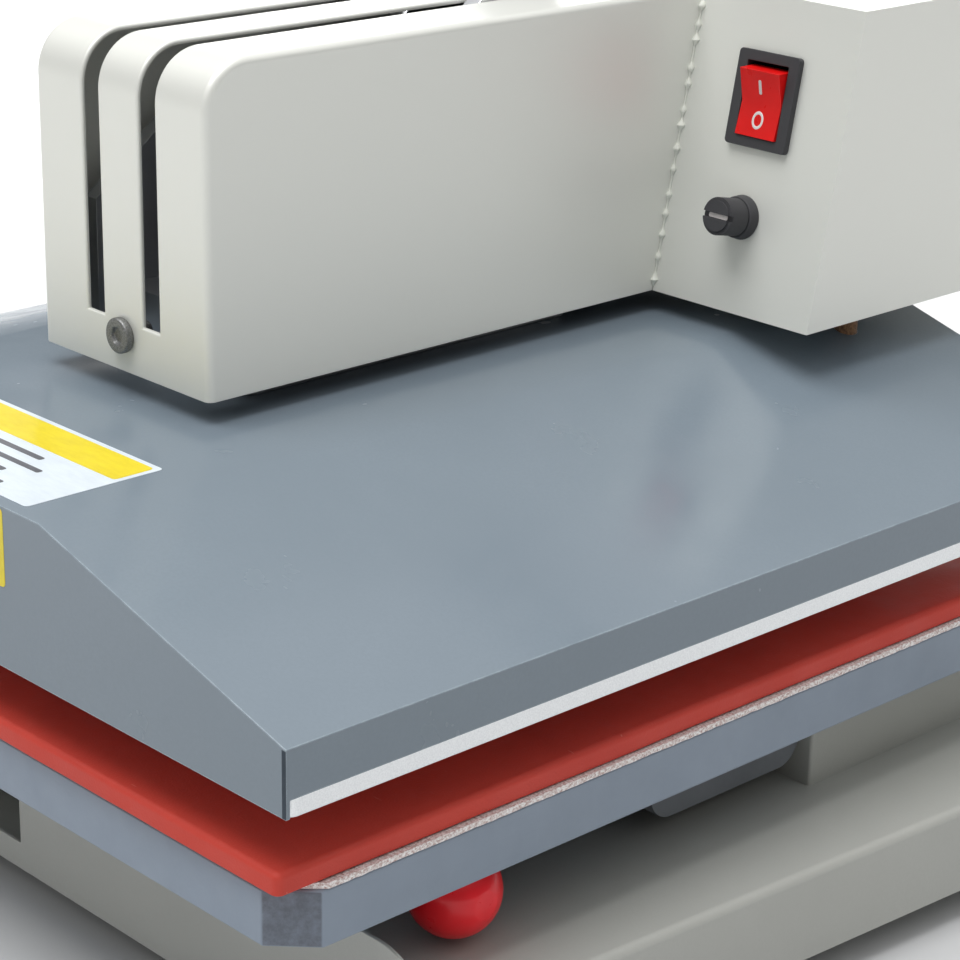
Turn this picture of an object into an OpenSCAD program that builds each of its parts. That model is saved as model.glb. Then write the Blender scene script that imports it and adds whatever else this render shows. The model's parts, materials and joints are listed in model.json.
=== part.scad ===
// Manual swing-away heat press for flat transfer work.
// Millimetres, +Z up, the operator stands on the -Y side.
// Origin: middle of the machine's plan outline, on the surface that it stands on.

/* [Overall] */
// Length from the hood's front face to the back edge of the base
overall_l = 540; // [520:1:600]
// Distance that the hot plate travels down to the pad
press_travel = 19; // [15:0.5:19]
// Thickness of the painted sheet steel covers
sheet_t = 1.5; // [1:0.1:2]

/* [Base] */
// Width of the base at its front edge
base_front_w = 395; // [385:1:410]
// Width of the base at its rear edge
base_rear_w = 458; // [440:1:470]
// Distance from the hood's front face back to the base's front edge
base_setback = 48.5; // [40:0.5:60]
// Height of the tray's side flanges
tray_h = 32; // [28:0.5:34]
// Width of the lips turned in under the tray
tray_lip_w = 40; // [36:1:50]
// Height of the front apron
apron_h = 51; // [46:0.5:54]
// Radius of the apron's upper corners
apron_r = 24; // [10:1:30]
// Width of the hand opening in the apron
apron_slot_w = 90; // [60:1:110]
// Height of the hand opening in the apron
apron_slot_h = 37; // [20:1:38]
// Height of a rubber foot
foot_h = 12; // [8:1:16]
// Diameter of a rubber foot
foot_d = 32; // [24:1:36]
// Width of the box that carries the column
riser_w = 334; // [300:1:350]
// Height of the box that carries the column
riser_h = 27; // [20:1:30]

/* [Lower plate] */
// Width of the lower plate
plate_w = 370; // [360:1:380]
// Length of the lower plate
plate_l = 370; // [360:1:375]
// Thickness of the lower plate
plate_t = 18; // [14:0.5:20]
// Height of the lower plate's top face above the table
plate_top = 94.5; // [90:0.5:100]
// How far the lower plate's upright corners are cut off
plate_corner = 12; // [6:1:20]
// Distance from the hood's front face back to the plate's front edge
plate_setback = 6.3; // [3:0.1:12]
// Thickness of the fibre sheet under the pad
backing_t = 2.2; // [1:0.1:3]
// Thickness of the silicone sponge pad
pad_t = 7.5; // [6:0.5:8]
// Distance from the hood's front face back to the pad's front edge
pad_setback = 3; // [0:0.5:6]
// Width of the silicone sponge pad
pad_w = 368; // [360:1:370]
// Width of the cross beam's end that shows beside the plate
beam_l = 73; // [60:1:90]
// Length of the cross beam, side to side
beam_w = 324; // [300:2:330]

/* [Plate latch] */
// Radius of the red pull knob
pull_r = 15; // [12:0.5:16]
// Distance of the pull knob's centre from the machine's middle plane
pull_x = 163.5; // [160:0.5:170]
// Distance from the hood's front face back to the pull knob
pull_setback = 88; // [70:1:110]
// Travel of the pull knob
pull_travel = 8; // [4:0.5:9]

/* [Head] */
// Width of the hood over the hot plate
hood_w = 384; // [384:1:390]
// Length of the hood over the hot plate
hood_l = 384; // [380:1:390]
// Height of the hood's lower edge above the table
hood_z = 130.5; // [126:0.5:132]
// Height of the hood's upright skirt
skirt_h = 15.3; // [12:0.1:22]
// Height of the hood from its lower edge to its flat top
hood_h = 46.7; // [42:0.1:52]
// Width of the hood's flat top
hood_flat_w = 160.8; // [140:0.1:180]
// Thickness of the aluminium hot plate
hot_t = 18; // [14:0.5:20]
// Distance that the hot plate stands below the hood
hot_drop = 6.8; // [2:0.1:8]
// How far the hood's front and rear walls reach below its side walls
gable_drop = 5.5; // [1:0.1:6]
// Diameter of the tubular heating element
element_d = 8; // [6:0.5:10]

/* [Arm] */
// Width of the arm cover
arm_w = 90; // [88:1:100]
// Distance from the hood's front face back to the arm's front face
arm_setback = 89.6; // [85:0.1:95]
// Height of the arm cover's lower edge above the table
arm_z = 185; // [184:0.5:187]
// Height of the arm cover at its front
arm_h = 108.7; // [106:0.1:112]
// Drop of the arm cover's top towards the back
arm_fall = 0.5; // [0:0.5:8]
// Radius of the arm cover's front upper edge
arm_r = 17; // [12:1:34]
// Width of each handle slot
slot_w = 9; // [8.6:0.1:10]
// Distance of each handle slot from the middle plane
slot_x = 15; // [14:0.5:16]
// Height of the slots' lower ends above the arm cover's lower edge
slot_low = 17; // [12:0.5:18]
// Thickness of the steel side plates
side_t = 6; // [5:0.5:6]

/* [Handle] */
// Angle that the raised handle leans back from upright
handle_lean = 45; // [40:1:48]
// Angle that the pressed handle points below level
handle_dip = 0; // [0:1:5]
// Distance from the handle's shaft to its grip
handle_l = 262; // [240:1:280]
// Width of a handle bar
bar_w = 24; // [18:1:24]
// Thickness of a handle bar
bar_t = 7; // [5:0.5:7]
// Diameter of the handle's shaft
shaft_d = 16; // [14:1:18]
// Height of the handle's shaft above the table
shaft_z = 239; // [238:0.5:240]
// Diameter of the grip sleeve
grip_d = 32; // [28:1:36]
// Length of the grip sleeve
grip_l = 170; // [140:1:200]

/* [Rear housing] */
// Width of the rear housing
housing_w = 236.8; // [220:0.1:260]
// Distance from the hood's front face back to the housing's lower front edge
housing_setback = 293; // [285:1:300]
// Height of the rear housing
housing_h = 109.8; // [108:0.1:114]
// Angle that the switch panel leans back
panel_lean = 11; // [5:0.5:15]
// Length of the housing along its lower edge
housing_l = 239; // [225:1:245]
// Diameter of the column
column_d = 44; // [40:1:46]
// Distance of the column's axis behind the middle of the plan
column_y = 175; // [170:1:185]
// Diameter of the pressure knob
pressure_d = 62; // [50:1:70]

/* [Controls] */
// Distance of the power switch from the middle plane
switch_x = 82.2; // [75:0.1:90]
// Height of the power switch up the panel's slope
switch_v = 75.5; // [70:0.1:80]
// Width of the power switch's bezel
bezel_w = 27.6; // [24:0.1:32]
// Height of the power switch's bezel
bezel_h = 33.6; // [30:0.1:38]
// Angle that the rocker tips between off and on
rocker_swing = 16; // [10:1:18]
// Distance of the fuse holder from the middle plane
fuse_x = 80.6; // [75:0.1:90]
// Height of the fuse holder up the panel's slope
fuse_v = 34; // [28:0.1:40]
// Diameter of the fuse holder's flange
fuse_d = 16; // [14:0.5:18]
// Width of the temperature controller's bezel
meter_w = 98; // [90:1:110]
// Depth of the temperature controller's bezel
meter_l = 52; // [48:1:60]
// Diameter of a controller button
button_d = 9; // [7:0.5:10]
// Travel of a controller button
button_travel = 1.2; // [0.8:0.1:1.5]

/* [Hidden] */
$fn = 64;

cream = [0.78, 0.79, 0.74];
plate_grey = [0.50, 0.56, 0.61];
signal_red = [0.80, 0.10, 0.10];
bright_steel = [0.72, 0.73, 0.75];
dull_steel = [0.45, 0.46, 0.48];
black = [0.08, 0.08, 0.09];
bronze = [0.75, 0.60, 0.30];

cut = 1;                 // how far a cutting shape runs past the face it opens
gap = 0.3;               // clearance between parts that pass each other
fit = 0.05;              // radial clearance of a shaft in its bore
front_y = -overall_l / 2;
rear_y = overall_l / 2;
press_y = front_y + hood_l / 2;

// Base
base_y = front_y + base_setback;
tray_y = base_y + sheet_t;
tray_top = foot_h + tray_h;
side_flare = (base_rear_w - base_front_w) / 2 / (rear_y - base_y);
apron_slot_x = -11;
apron_slot_z = 10;
foot_inset = 22;
foot_front_x = base_front_w / 2 - foot_inset;
foot_rear_x = base_rear_w / 2 - foot_inset;
foot_front_y = tray_y + foot_inset;
foot_rear_y = rear_y - foot_inset;
foot_places = [[-foot_front_x, foot_front_y], [foot_front_x, foot_front_y],
               [-foot_rear_x, foot_rear_y], [foot_rear_x, foot_rear_y]];
foot_screw_d = 6;
foot_recess_d = 13;
foot_recess_h = 5;
riser_t = 3;
riser_front_y = -20;
riser_rear_y = 262;
riser_top = tray_top + riser_h;

// Lower plate and its supports
plate_y = front_y + plate_setback + plate_l / 2;
plate_low = plate_top - plate_t;
beam_y = -57.5;
beam_t = 5;
beam_low = 52.5;
beam_r = 10;
pedestal_w = 150;
pedestal_l = 70;
backing_w = plate_w + 1;
backing_front_y = front_y + plate_setback + 2;
backing_l = plate_l - 2;
pad_l = plate_l + 3 - pad_setback;
pad_r = 3;
pad_top = plate_top + backing_t + pad_t;

// Plate latch
pull_y = front_y + pull_setback;
pull_z = 61.5;
pin_d = 8;
latch_block_x = 118;
latch_block_w = 18;
latch_block_l = 26;
latch_block_h = 28;
latch_tab_x = 84;
latch_tab_t = 8;
latch_tab_low = 50;
latch_spring_d = 13;
latch_pin_x = latch_tab_x + latch_tab_t - pull_travel + 2;
latch_clip_d = 12.4;
latch_clip_t = 1.5;
latch_clip_x = 99.5;

// Head
hood_top = hood_z + hood_h;
hood_slope = atan((hood_h - skirt_h) / ((hood_w - hood_flat_w) / 2));
hot_low = hood_z - hot_drop;
hot_top = hot_low + hot_t;
hot_gap = 0.4;
element_span = 130;
element_l = 250;
element_r = 60;
blanket_low = hot_top + 5;
blanket_top = hood_top - 8;
stud_d = 10;
stud_x = 20;
stud_y = 62;
carrier_t = 4;
carrier_w = 58;
carrier_l = 150;
carrier_top = hood_top + carrier_t;
stud_head_h = 4;
stud_head_d = 11;
clear_d = 6.9;

// Pressing gear
ram_d = 24;
ram_top = 223.5;
roller_d = 18;
roller_w = 12;
roller_z = 216;
roller_pin_d = 6;
rod_d = 12;
rod_y = 56;
rod_top = 262;
rod_nut_d = 18;
rod_nut_h = 6;
guide_low = 188;
guide_top = 204;
guide_l = 160;
guide_w = 60;
bush_wall = 3;
spring_d = 17;
spring_top = rod_top - rod_nut_h;
handle_range = handle_lean + 90 + handle_dip;
cam_rise = press_travel / handle_range;
cam_pitch_r = shaft_z - roller_z;
cam_w = 12;
cam_gap = 0.2;
cam_lead = 6;
cam_steps = 36;
cam_back_r = 13;

// Arm
arm_y = front_y + arm_setback;
arm_top = arm_z + arm_h;
arm_back_y = 64;
side_x = guide_w / 2;
side_low = 190.5;
side_top = 270;
side_front_y = arm_y + 12;
side_back_y = column_y + 32;
slot_back_y = 1;
arm_screw_d = 12;
arm_screw_h = 3;
arm_screw_z = 12.5;

// Rear housing
housing_y = front_y + housing_setback;
housing_back_y = housing_y + housing_l;
housing_top = arm_z + housing_h;
block_low = 192;
block_top = 280;
block_l = 64;
collar_d = 70;
collar_low = 160;
washer_t = 2;
flange_d = 112;
flange_t = 8;
column_top = 268;
cap_t = 6;
stop_pin_d = 6;
stop_pin_r = 28.5;
stop_groove_h = 8;
swing_range = 100;
spindle_d = 16;
cover_screw_d = 4;
spindle_flange_d = 30;
lead_x = 96;
lead_y = 72;
lead_d = 9;
lead_top = arm_z + 34;

// Controls
switch_hole_w = 22;
switch_hole_h = 28;
rocker_w = 18;
rocker_h = 25;
rocker_pivot = 5;
rocker_pin_d = 3;
rocker_pin_l = 20.8;
meter_x = -30;
meter_y = 98;
meter_h = 6;
button_pitch = 15;
button_up_z = 1.6;
button_root = 3.4;
button_hole_h = button_root + button_travel + 0.4;
inlet_x = 70;
inlet_z = 40;

// ---- Helpers -------------------------------------------------------------

// Box between two corners
module block(low, high) translate(low) cube(high - low);

// Flat outline with four round corners, centred
module round_rect(w, l, r) {
    square([w - 2 * r, l], center = true);
    square([w, l - 2 * r], center = true);
    for (x = [-1, 1], y = [-1, 1]) translate([x * (w / 2 - r), y * (l / 2 - r)]) circle(r);
}

// Flat outline with four corners cut off, centred
module cut_rect(w, l, c) polygon([for (q = [[1, 1], [-1, 1], [-1, -1], [1, -1]], k = [0, 1])
    let (a = (q[0] * q[1] > 0) == (k == 0) ? [w / 2, l / 2 - c] : [w / 2 - c, l / 2]) [q[0] * a[0], q[1] * a[1]]]);

// Extrudes a Y-Z outline along X, centred on the middle plane
module along_x(w) rotate([90, 0, 90]) translate([0, 0, -w / 2]) linear_extrude(w) children();

// Extrudes an X-Z outline along Y, from y0 to y1
module along_y(y0, y1) translate([0, y1, 0]) rotate([90, 0, 0]) linear_extrude(y1 - y0) children();

// Cylinder along X, from x0 to x1
module rod_x(x0, x1, d) translate([x0, 0, 0]) rotate([0, 90, 0]) cylinder(h = x1 - x0, d = d);

// Ring along Z
module ring(h, outer_d, inner_d) difference() {
    cylinder(h = h, d = outer_d);
    translate([0, 0, -cut]) cylinder(h = h + 2 * cut, d = inner_d);
}

// Places children on the leaning switch panel: X across, Z up the slope, -Y out of it
module on_panel() translate([0, housing_y, arm_z]) rotate([-panel_lean, 0, 0]) children();

// Pan head screw with a cross recess, its head standing along +Z
module pan_screw(d, head_d, head_h, length) {
    slot_d = d / 3;
    difference() {
        union() {
            cylinder(h = head_h, d1 = head_d, d2 = head_d * 0.7);
            translate([0, 0, -length]) cylinder(h = length, d = d);
        }
        for (a = [0, 90]) rotate([0, 0, a]) translate([-head_d * 0.3, -slot_d / 2, head_h / 2])
            cube([head_d * 0.6, slot_d, head_h]);
    }
}

// Socket cap screw, its head standing along +Z
module cap_screw(d, head_d, head_h, length) difference() {
    union() {
        cylinder(h = head_h, d = head_d);
        translate([0, 0, -length]) cylinder(h = length, d = d);
    }
    translate([0, 0, head_h / 2]) cylinder(h = head_h, d = d, $fn = 6);
}

// ---- Base ----------------------------------------------------------------

// Plan outline of the base, inset by t on its sides and back
module base_outline(t, y0) {
    w0 = base_front_w / 2 + side_flare * (y0 - base_y) - t;
    w1 = base_rear_w / 2 - side_flare * t - t;
    polygon([[-w0, y0], [w0, y0], [w1, rear_y - t], [-w1, rear_y - t]]);
}

module base_tray() color(cream) difference() {
    translate([0, 0, foot_h]) linear_extrude(tray_h) base_outline(0, tray_y);
    translate([0, 0, foot_h + sheet_t]) linear_extrude(tray_h - 2 * sheet_t) base_outline(sheet_t, tray_y - cut);
    translate([0, 0, foot_h - cut]) linear_extrude(sheet_t + 2 * cut)
        base_outline(tray_lip_w, tray_y + tray_lip_w);
    for (p = foot_places) translate([p[0], p[1], foot_h - cut]) cylinder(h = sheet_t + 2 * cut, d = foot_screw_d);
}

module front_apron() color(cream) difference() {
    along_y(base_y, tray_y) translate([0, foot_h]) {
        translate([0, apron_h / 2]) round_rect(base_front_w, apron_h, apron_r);
        translate([-base_front_w / 2, 0]) square([base_front_w, apron_h / 2]);
    }
    block([apron_slot_x - apron_slot_w, base_y - cut, foot_h + apron_slot_z],
          [apron_slot_x, tray_y + cut, foot_h + apron_slot_z + apron_slot_h]);
}

module column_riser() color(cream) difference() {
    block([-riser_w / 2, riser_front_y, tray_top], [riser_w / 2, riser_rear_y, riser_top]);
    block([-riser_w / 2 + riser_t, riser_front_y + riser_t, tray_top - cut],
          [riser_w / 2 - riser_t, riser_rear_y - riser_t, riser_top - riser_t]);
    translate([0, column_y, 0]) flange_pattern() translate([0, 0, riser_top - riser_t - cut])
        cylinder(h = riser_t + 2 * cut, d = 8);
}

module rubber_feet() color(black) for (p = foot_places) translate([p[0], p[1], 0]) difference() {
    cylinder(h = foot_h, d1 = foot_d - 5, d2 = foot_d);
    translate([0, 0, -cut]) cylinder(h = foot_recess_h + cut, d = foot_recess_d);
    cylinder(h = foot_h + cut, d = foot_screw_d);
}

module foot_screws() color(bright_steel) for (p = foot_places) translate([p[0], p[1], foot_recess_h])
    mirror([0, 0, 1]) pan_screw(foot_screw_d, foot_recess_d - 2, foot_recess_h - 2, foot_h - foot_recess_h + 4);

module pedestal() color(dull_steel) difference() {
    translate([0, beam_y, tray_top]) linear_extrude(beam_low - tray_top) round_rect(pedestal_w, pedestal_l, 8);
    for (x = [-1, 1], y = [-1, 1]) translate([x * 50, beam_y + y * 23, tray_top - cut])
        cylinder(h = beam_low - tray_top + 2 * cut, d = 10);
}

// End outline of the cross beam: square above, round corners below
module beam_outline(t) {
    l = beam_l - 2 * t;
    h = plate_low - beam_low - 2 * t;
    r = beam_r - t / 2;
    translate([beam_y, beam_low + t + h / 2]) {
        round_rect(l, h, r);
        translate([-l / 2, 0]) square([l, h / 2]);
    }
}

module cross_beam() color(dull_steel) difference() {
    along_x(beam_w) beam_outline(0);
    along_x(beam_w - 4 * beam_t) beam_outline(beam_t);
    for (x = [-1, 1]) translate([x * 110, beam_y, beam_low - cut]) cylinder(h = beam_t + 2 * cut, d = 34);
    for (x = [-1, 1]) translate([x * 110, beam_y, plate_low - beam_t - cut]) cylinder(h = beam_t + 2 * cut, d = 9);
}

module lower_plate() color(plate_grey) difference() {
    translate([0, plate_y, plate_low]) linear_extrude(plate_t) cut_rect(plate_w, plate_l, plate_corner);
    for (x = [-1, 1]) translate([x * 110, beam_y, plate_low - cut]) cylinder(h = plate_t * 0.7, d = 8);
}

module pad_backing() color([0.86, 0.85, 0.82]) translate([0, backing_front_y + backing_l / 2, plate_top])
    linear_extrude(backing_t) cut_rect(backing_w, backing_l, plate_corner);

module silicone_pad() color(signal_red) translate([0, front_y + pad_setback + pad_l / 2, plate_top + backing_t])
    linear_extrude(pad_t) round_rect(pad_w, pad_l, pad_r);

// ---- Plate latch ---------------------------------------------------------

module latch_tab() color(dull_steel) difference() {
    block([latch_tab_x, pull_y - 16, latch_tab_low], [latch_tab_x + latch_tab_t, pull_y + 16, plate_low]);
    translate([0, pull_y, pull_z]) rod_x(latch_tab_x - cut, latch_tab_x + latch_tab_t + cut, pin_d + 2 * gap);
}

module latch_block() color(dull_steel) difference() {
    block([latch_block_x, pull_y - latch_block_l / 2, tray_top],
          [latch_block_x + latch_block_w, pull_y + latch_block_l / 2, tray_top + latch_block_h]);
    translate([0, pull_y, pull_z]) rod_x(latch_block_x - cut, latch_block_x + latch_block_w + cut, pin_d + 2 * fit);
}

module latch_spring() color(bright_steel) translate([0, pull_y, pull_z]) difference() {
    rod_x(latch_clip_x + latch_clip_t + gap, latch_block_x, latch_spring_d);
    rod_x(latch_clip_x, latch_block_x + cut, pin_d + 1);
}

module latch_pin() color(bright_steel) translate([0, pull_y, pull_z]) {
    rod_x(latch_pin_x, pull_x - pull_r + 4, pin_d);
    rod_x(latch_clip_x, latch_clip_x + latch_clip_t, latch_clip_d);
}

// Mushroom knob: a flattened ball on a short collar, seated on the latch pin
module red_pull_knob() color(signal_red) translate([pull_x, pull_y, pull_z]) difference() {
    union() {
        rotate([0, 90, 0]) sphere(r = pull_r);
        rod_x(-pull_r - 3, -pull_r / 2, 15);
    }
    rod_x(-pull_r - 4, -pull_r + 4, pin_d);
    rod_x(pull_r - 0.6, pull_r + cut, 2 * pull_r);
}

// ---- Column --------------------------------------------------------------

// Four bolt places round the column
module flange_pattern() for (a = [45:90:315]) rotate([0, 0, a]) translate([flange_d / 2 - 13, 0, 0]) children();

module column_flange() color(dull_steel) translate([0, column_y, riser_top]) difference() {
    ring(flange_t, flange_d, column_d);
    flange_pattern() translate([0, 0, -cut]) cylinder(h = flange_t + 2 * cut, d = 8);
}

module flange_bolts() color(bright_steel) translate([0, column_y, riser_top + flange_t])
    flange_pattern() cap_screw(8, 13, 8, flange_t + riser_t + 4);

module column() color(bright_steel) translate([0, column_y, riser_top]) difference() {
    cylinder(h = column_top - riser_top, d = column_d);
    translate([0, 0, column_top - riser_top - 34]) cylinder(h = 34 + cut, d = spindle_d + 2 * fit);
}

// Collar that carries the head. The groove in its top is as long as the head's swing.
module stop_collar() color(dull_steel) translate([0, column_y, collar_low]) difference() {
    ring(block_low - washer_t - collar_low, collar_d, column_d);
    translate([0, 0, block_low - washer_t - collar_low - stop_groove_h])
        rotate([0, 0, -90 - asin((stop_pin_d / 2 + gap) / stop_pin_r) * 2])
        rotate_extrude(angle = swing_range + 4 * asin((stop_pin_d / 2 + gap) / stop_pin_r))
        translate([stop_pin_r - stop_pin_d / 2 - gap, 0])
        square([collar_d / 2 - stop_pin_r + stop_pin_d, stop_groove_h + cut]);
}

module thrust_washer() color(bronze) translate([0, column_y, block_low - washer_t])
    ring(washer_t, 2 * (stop_pin_r - stop_pin_d / 2 - gap), column_d + 1);

// ---- Swinging arm --------------------------------------------------------

module bearing_block() color(dull_steel) difference() {
    block([-side_x, column_y - block_l / 2, block_low], [side_x, column_y + block_l / 2, block_top]);
    translate([0, column_y, block_low - cut]) cylinder(h = block_top - block_low + 2 * cut, d = column_d + 2 * fit);
    translate([0, column_y - stop_pin_r, block_low - cut]) cylinder(h = 12 + cut, d = stop_pin_d);
}

module bearing_cap() color(dull_steel) translate([0, column_y, block_top]) difference() {
    translate([0, 0, cap_t / 2]) cube([2 * side_x, block_l, cap_t], center = true);
    translate([0, 0, -cut]) cylinder(h = cap_t + 2 * cut, d = spindle_d + 2 * fit);
}

module stop_pin() color(bright_steel) translate([0, column_y - stop_pin_r, block_low - washer_t - stop_groove_h + 2])
    cylinder(h = 12 + washer_t + stop_groove_h - 2, d = stop_pin_d);

// Outline of a side plate, with an upright slot where the shaft's bush sits
module side_outline() difference() {
    polygon([[side_front_y, side_low], [side_back_y, side_low], [side_back_y, side_top],
             [side_front_y + 45, side_top], [side_front_y, side_top - 35]]);
    translate([press_y, shaft_z]) circle(d = shaft_d + 2 * bush_wall);
    for (y = [-20, 60]) translate([y, 232]) circle(d = 30);
    translate([120, 232]) circle(d = 22);
}

module arm_side_plates() color(dull_steel) for (s = [-1, 1])
    translate([s * (side_x + side_t / 2), 0, 0]) along_x(side_t) side_outline();

module guide_holes(ram_hole, rod_hole) {
    translate([0, press_y]) circle(d = ram_hole);
    for (s = [-1, 1]) translate([0, press_y + s * rod_y]) circle(d = rod_hole);
}

module guide_block() color(dull_steel) translate([0, 0, guide_low]) linear_extrude(guide_top - guide_low)
    difference() {
        translate([0, press_y]) square([guide_w, guide_l], center = true);
        guide_holes(ram_d + 2 * bush_wall, rod_d + 2 * bush_wall);
    }

// Bushes for the ram and the guide rods, and one in each side plate for the shaft
module bronze_bushes() color(bronze) {
    translate([0, 0, guide_low]) linear_extrude(guide_top - guide_low) difference() {
        guide_holes(ram_d + 2 * bush_wall, rod_d + 2 * bush_wall);
        guide_holes(ram_d + 2 * fit, rod_d + 2 * fit);
    }
    for (s = [-1, 1]) translate([s * (side_x + side_t / 2) - side_t / 2, press_y, shaft_z]) rotate([0, 90, 0])
        ring(side_t, shaft_d + 2 * bush_wall, shaft_d + 2 * fit);
}

// Side outline of the arm cover, inset by t. The top falls towards the back.
module arm_outline(t) {
    y0 = arm_y + t;
    z0 = arm_z - (t > 0 ? cut : 0);
    y1 = arm_back_y + (t > 0 ? cut : 0);
    r = arm_r - t;
    top = arm_top - t;
    polygon([[y0, z0], [y1, z0], [y1, top - arm_fall], [y0 + r, top], [y0 + r, top - r], [y0, top - r]]);
    translate([y0 + r, top - r]) circle(r);
}

module arm_cover() color(cream) difference() {
    along_x(arm_w) arm_outline(0);
    along_x(arm_w - 2 * sheet_t) arm_outline(sheet_t);
    for (s = [-1, 1]) {
        block([s * slot_x - slot_w / 2, arm_y - cut, arm_z + slot_low],
              [s * slot_x + slot_w / 2, slot_back_y - slot_w / 2, arm_top + cut]);
        translate([s * slot_x, slot_back_y - slot_w / 2, arm_top - arm_fall - 2 * sheet_t])
            cylinder(h = arm_fall + 3 * sheet_t, d = slot_w);
    }
    translate([0, arm_y - cut, arm_z + arm_screw_z]) rotate([-90, 0, 0]) cylinder(h = sheet_t + 2 * cut, d = 6);
}

module arm_front_screw() color(bright_steel) translate([0, arm_y, arm_z + arm_screw_z]) rotate([90, 0, 0])
    cap_screw(6, arm_screw_d, arm_screw_h, 10);

// ---- Rear housing --------------------------------------------------------

module housing_outline(t, open) {
    lean = tan(panel_lean);
    inset = t / cos(panel_lean);
    low = arm_z - open;
    high = housing_top - t;
    y1 = housing_back_y + open;
    polygon([[housing_y + inset + (low - arm_z) * lean, low], [y1, low], [y1, high],
             [housing_y + inset + (high - arm_z) * lean, high]]);
}

module rear_housing() color(cream) difference() {
    along_x(housing_w) housing_outline(0, 0);
    along_x(housing_w - 2 * sheet_t) housing_outline(sheet_t, cut);
    along_x(arm_w + 2 * gap) translate([0, gap]) arm_outline(0);
    block([-arm_w / 2 - gap, housing_y - cut, arm_z - cut], [arm_w / 2 + gap, arm_back_y, arm_z + arm_h / 2]);
    on_panel() {
        block([switch_x - switch_hole_w / 2, -cut, switch_v - switch_hole_h / 2],
              [switch_x + switch_hole_w / 2, sheet_t + cut, switch_v + switch_hole_h / 2]);
        translate([fuse_x, -cut, fuse_v]) rotate([-90, 0, 0]) cylinder(h = sheet_t + 2 * cut, d = 12);
    }
    translate([0, column_y, housing_top - sheet_t - cut]) cylinder(h = sheet_t + 2 * cut, d = spindle_d + 6);
    side_screw_places() screw_hole();
    block([meter_x - meter_w / 2 + 4, meter_y - meter_l / 2 + 4, housing_top - sheet_t - cut],
          [meter_x + meter_w / 2 - 4, meter_y + meter_l / 2 - 4, housing_top + cut]);
}

module housing_floor() color(cream) difference() {
    block([-housing_w / 2 + sheet_t, housing_y + 2 * sheet_t, arm_z],
          [housing_w / 2 - sheet_t, housing_back_y, arm_z + sheet_t]);
    block([-arm_w / 2 - gap, housing_y, arm_z - cut], [arm_w / 2 + gap, arm_back_y + gap, arm_z + sheet_t + cut]);
    translate([0, column_y, arm_z - cut]) cylinder(h = sheet_t + 2 * cut, d = collar_d + 8);
    translate([lead_x, lead_y, arm_z - cut]) cylinder(h = sheet_t + 2 * cut, d = lead_d + 7);
}

module housing_back() color(cream) difference() {
    block([-housing_w / 2, housing_back_y, arm_z], [housing_w / 2, housing_back_y + sheet_t, housing_top]);
    for (row = [0:1:5], x = [-60, 0]) translate([x - 20, housing_back_y, arm_z + 30 + row * 9])
        rotate([-90, 0, 0]) translate([0, 0, -cut]) linear_extrude(sheet_t + 2 * cut) round_rect(44, 4, 1.9);
    block([inlet_x - 14, housing_back_y - cut, arm_z + inlet_z - 10],
          [inlet_x + 14, housing_back_y + sheet_t + cut, arm_z + inlet_z + 10]);
    back_screw_places() screw_hole();
}

module side_screw_places() for (s = [-1, 1], y = [150, 235])
    translate([s * housing_w / 2, y, arm_z + 12]) rotate([0, s * 90, 0]) children();

module back_screw_places() for (x = [-1, 1], z = [10, housing_h - 10])
    translate([x * (housing_w / 2 - 12), housing_back_y + sheet_t, arm_z + z]) rotate([-90, 0, 0]) children();

module screw_hole() translate([0, 0, -sheet_t - cut]) cylinder(h = sheet_t + 2 * cut, d = cover_screw_d + fit);

module cover_screws() color(bright_steel) {
    side_screw_places() pan_screw(cover_screw_d, 8, 2.4, 6);
    back_screw_places() pan_screw(cover_screw_d, 8, 2.4, 6);
}

// Circuit board with its transformer, relay and terminal block, on stand-offs above the floor
module control_board() color([0.15, 0.35, 0.22]) translate([-78, 110, arm_z + sheet_t]) {
    translate([-30, -50, 8]) cube([60, 100, 1.6]);
    for (x = [-1, 1], y = [-1, 1]) translate([x * 24, y * 44, 0]) cylinder(h = 8, d = 6);
    translate([-22, -40, 9.6]) cube([40, 34, 26]);
    translate([-20, 4, 9.6]) cube([24, 30, 16]);
    translate([10, 6, 9.6]) cube([14, 36, 12]);
}

// ---- Controls ------------------------------------------------------------

module switch_body() color(black) on_panel() translate([switch_x, 0, switch_v]) difference() {
    union() {
        translate([0, 0, 0]) rotate([90, 0, 0]) linear_extrude(2.5) round_rect(bezel_w, bezel_h, 1.5);
        block([-switch_hole_w / 2 + gap, 0, -switch_hole_h / 2 + gap],
              [switch_hole_w / 2 - gap, 22, switch_hole_h / 2 - gap]);
    }
    block([-rocker_w / 2 - 0.4, -cut - 3, -rocker_h / 2 - 0.6], [rocker_w / 2 + 0.4, 16, rocker_h / 2 + 0.6]);
    translate([0, rocker_pivot, 0]) rod_x(-switch_hole_w, switch_hole_w, rocker_pin_d + 2 * fit);
}

// Rocker cap, drawn on its pivot line and tipped so that its upper half stands out
module rocker_switch() color(signal_red) on_panel() translate([switch_x, rocker_pivot, switch_v])
    rotate([rocker_swing / 2, 0, 0]) {
        mirror([0, 1, 0]) along_x(rocker_w)
            polygon([[-6, -rocker_h / 2 + 5], [-6, rocker_h / 2 - 5], [2, rocker_h / 2 - 0.3],
                     [rocker_pivot + 5, rocker_h / 2 - 0.8], [rocker_pivot + 2.4, 0],
                     [rocker_pivot + 5, -rocker_h / 2 + 0.8], [2, -rocker_h / 2 + 0.3]]);
        rod_x(-rocker_pin_l / 2, rocker_pin_l / 2, rocker_pin_d);
    }

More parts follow.
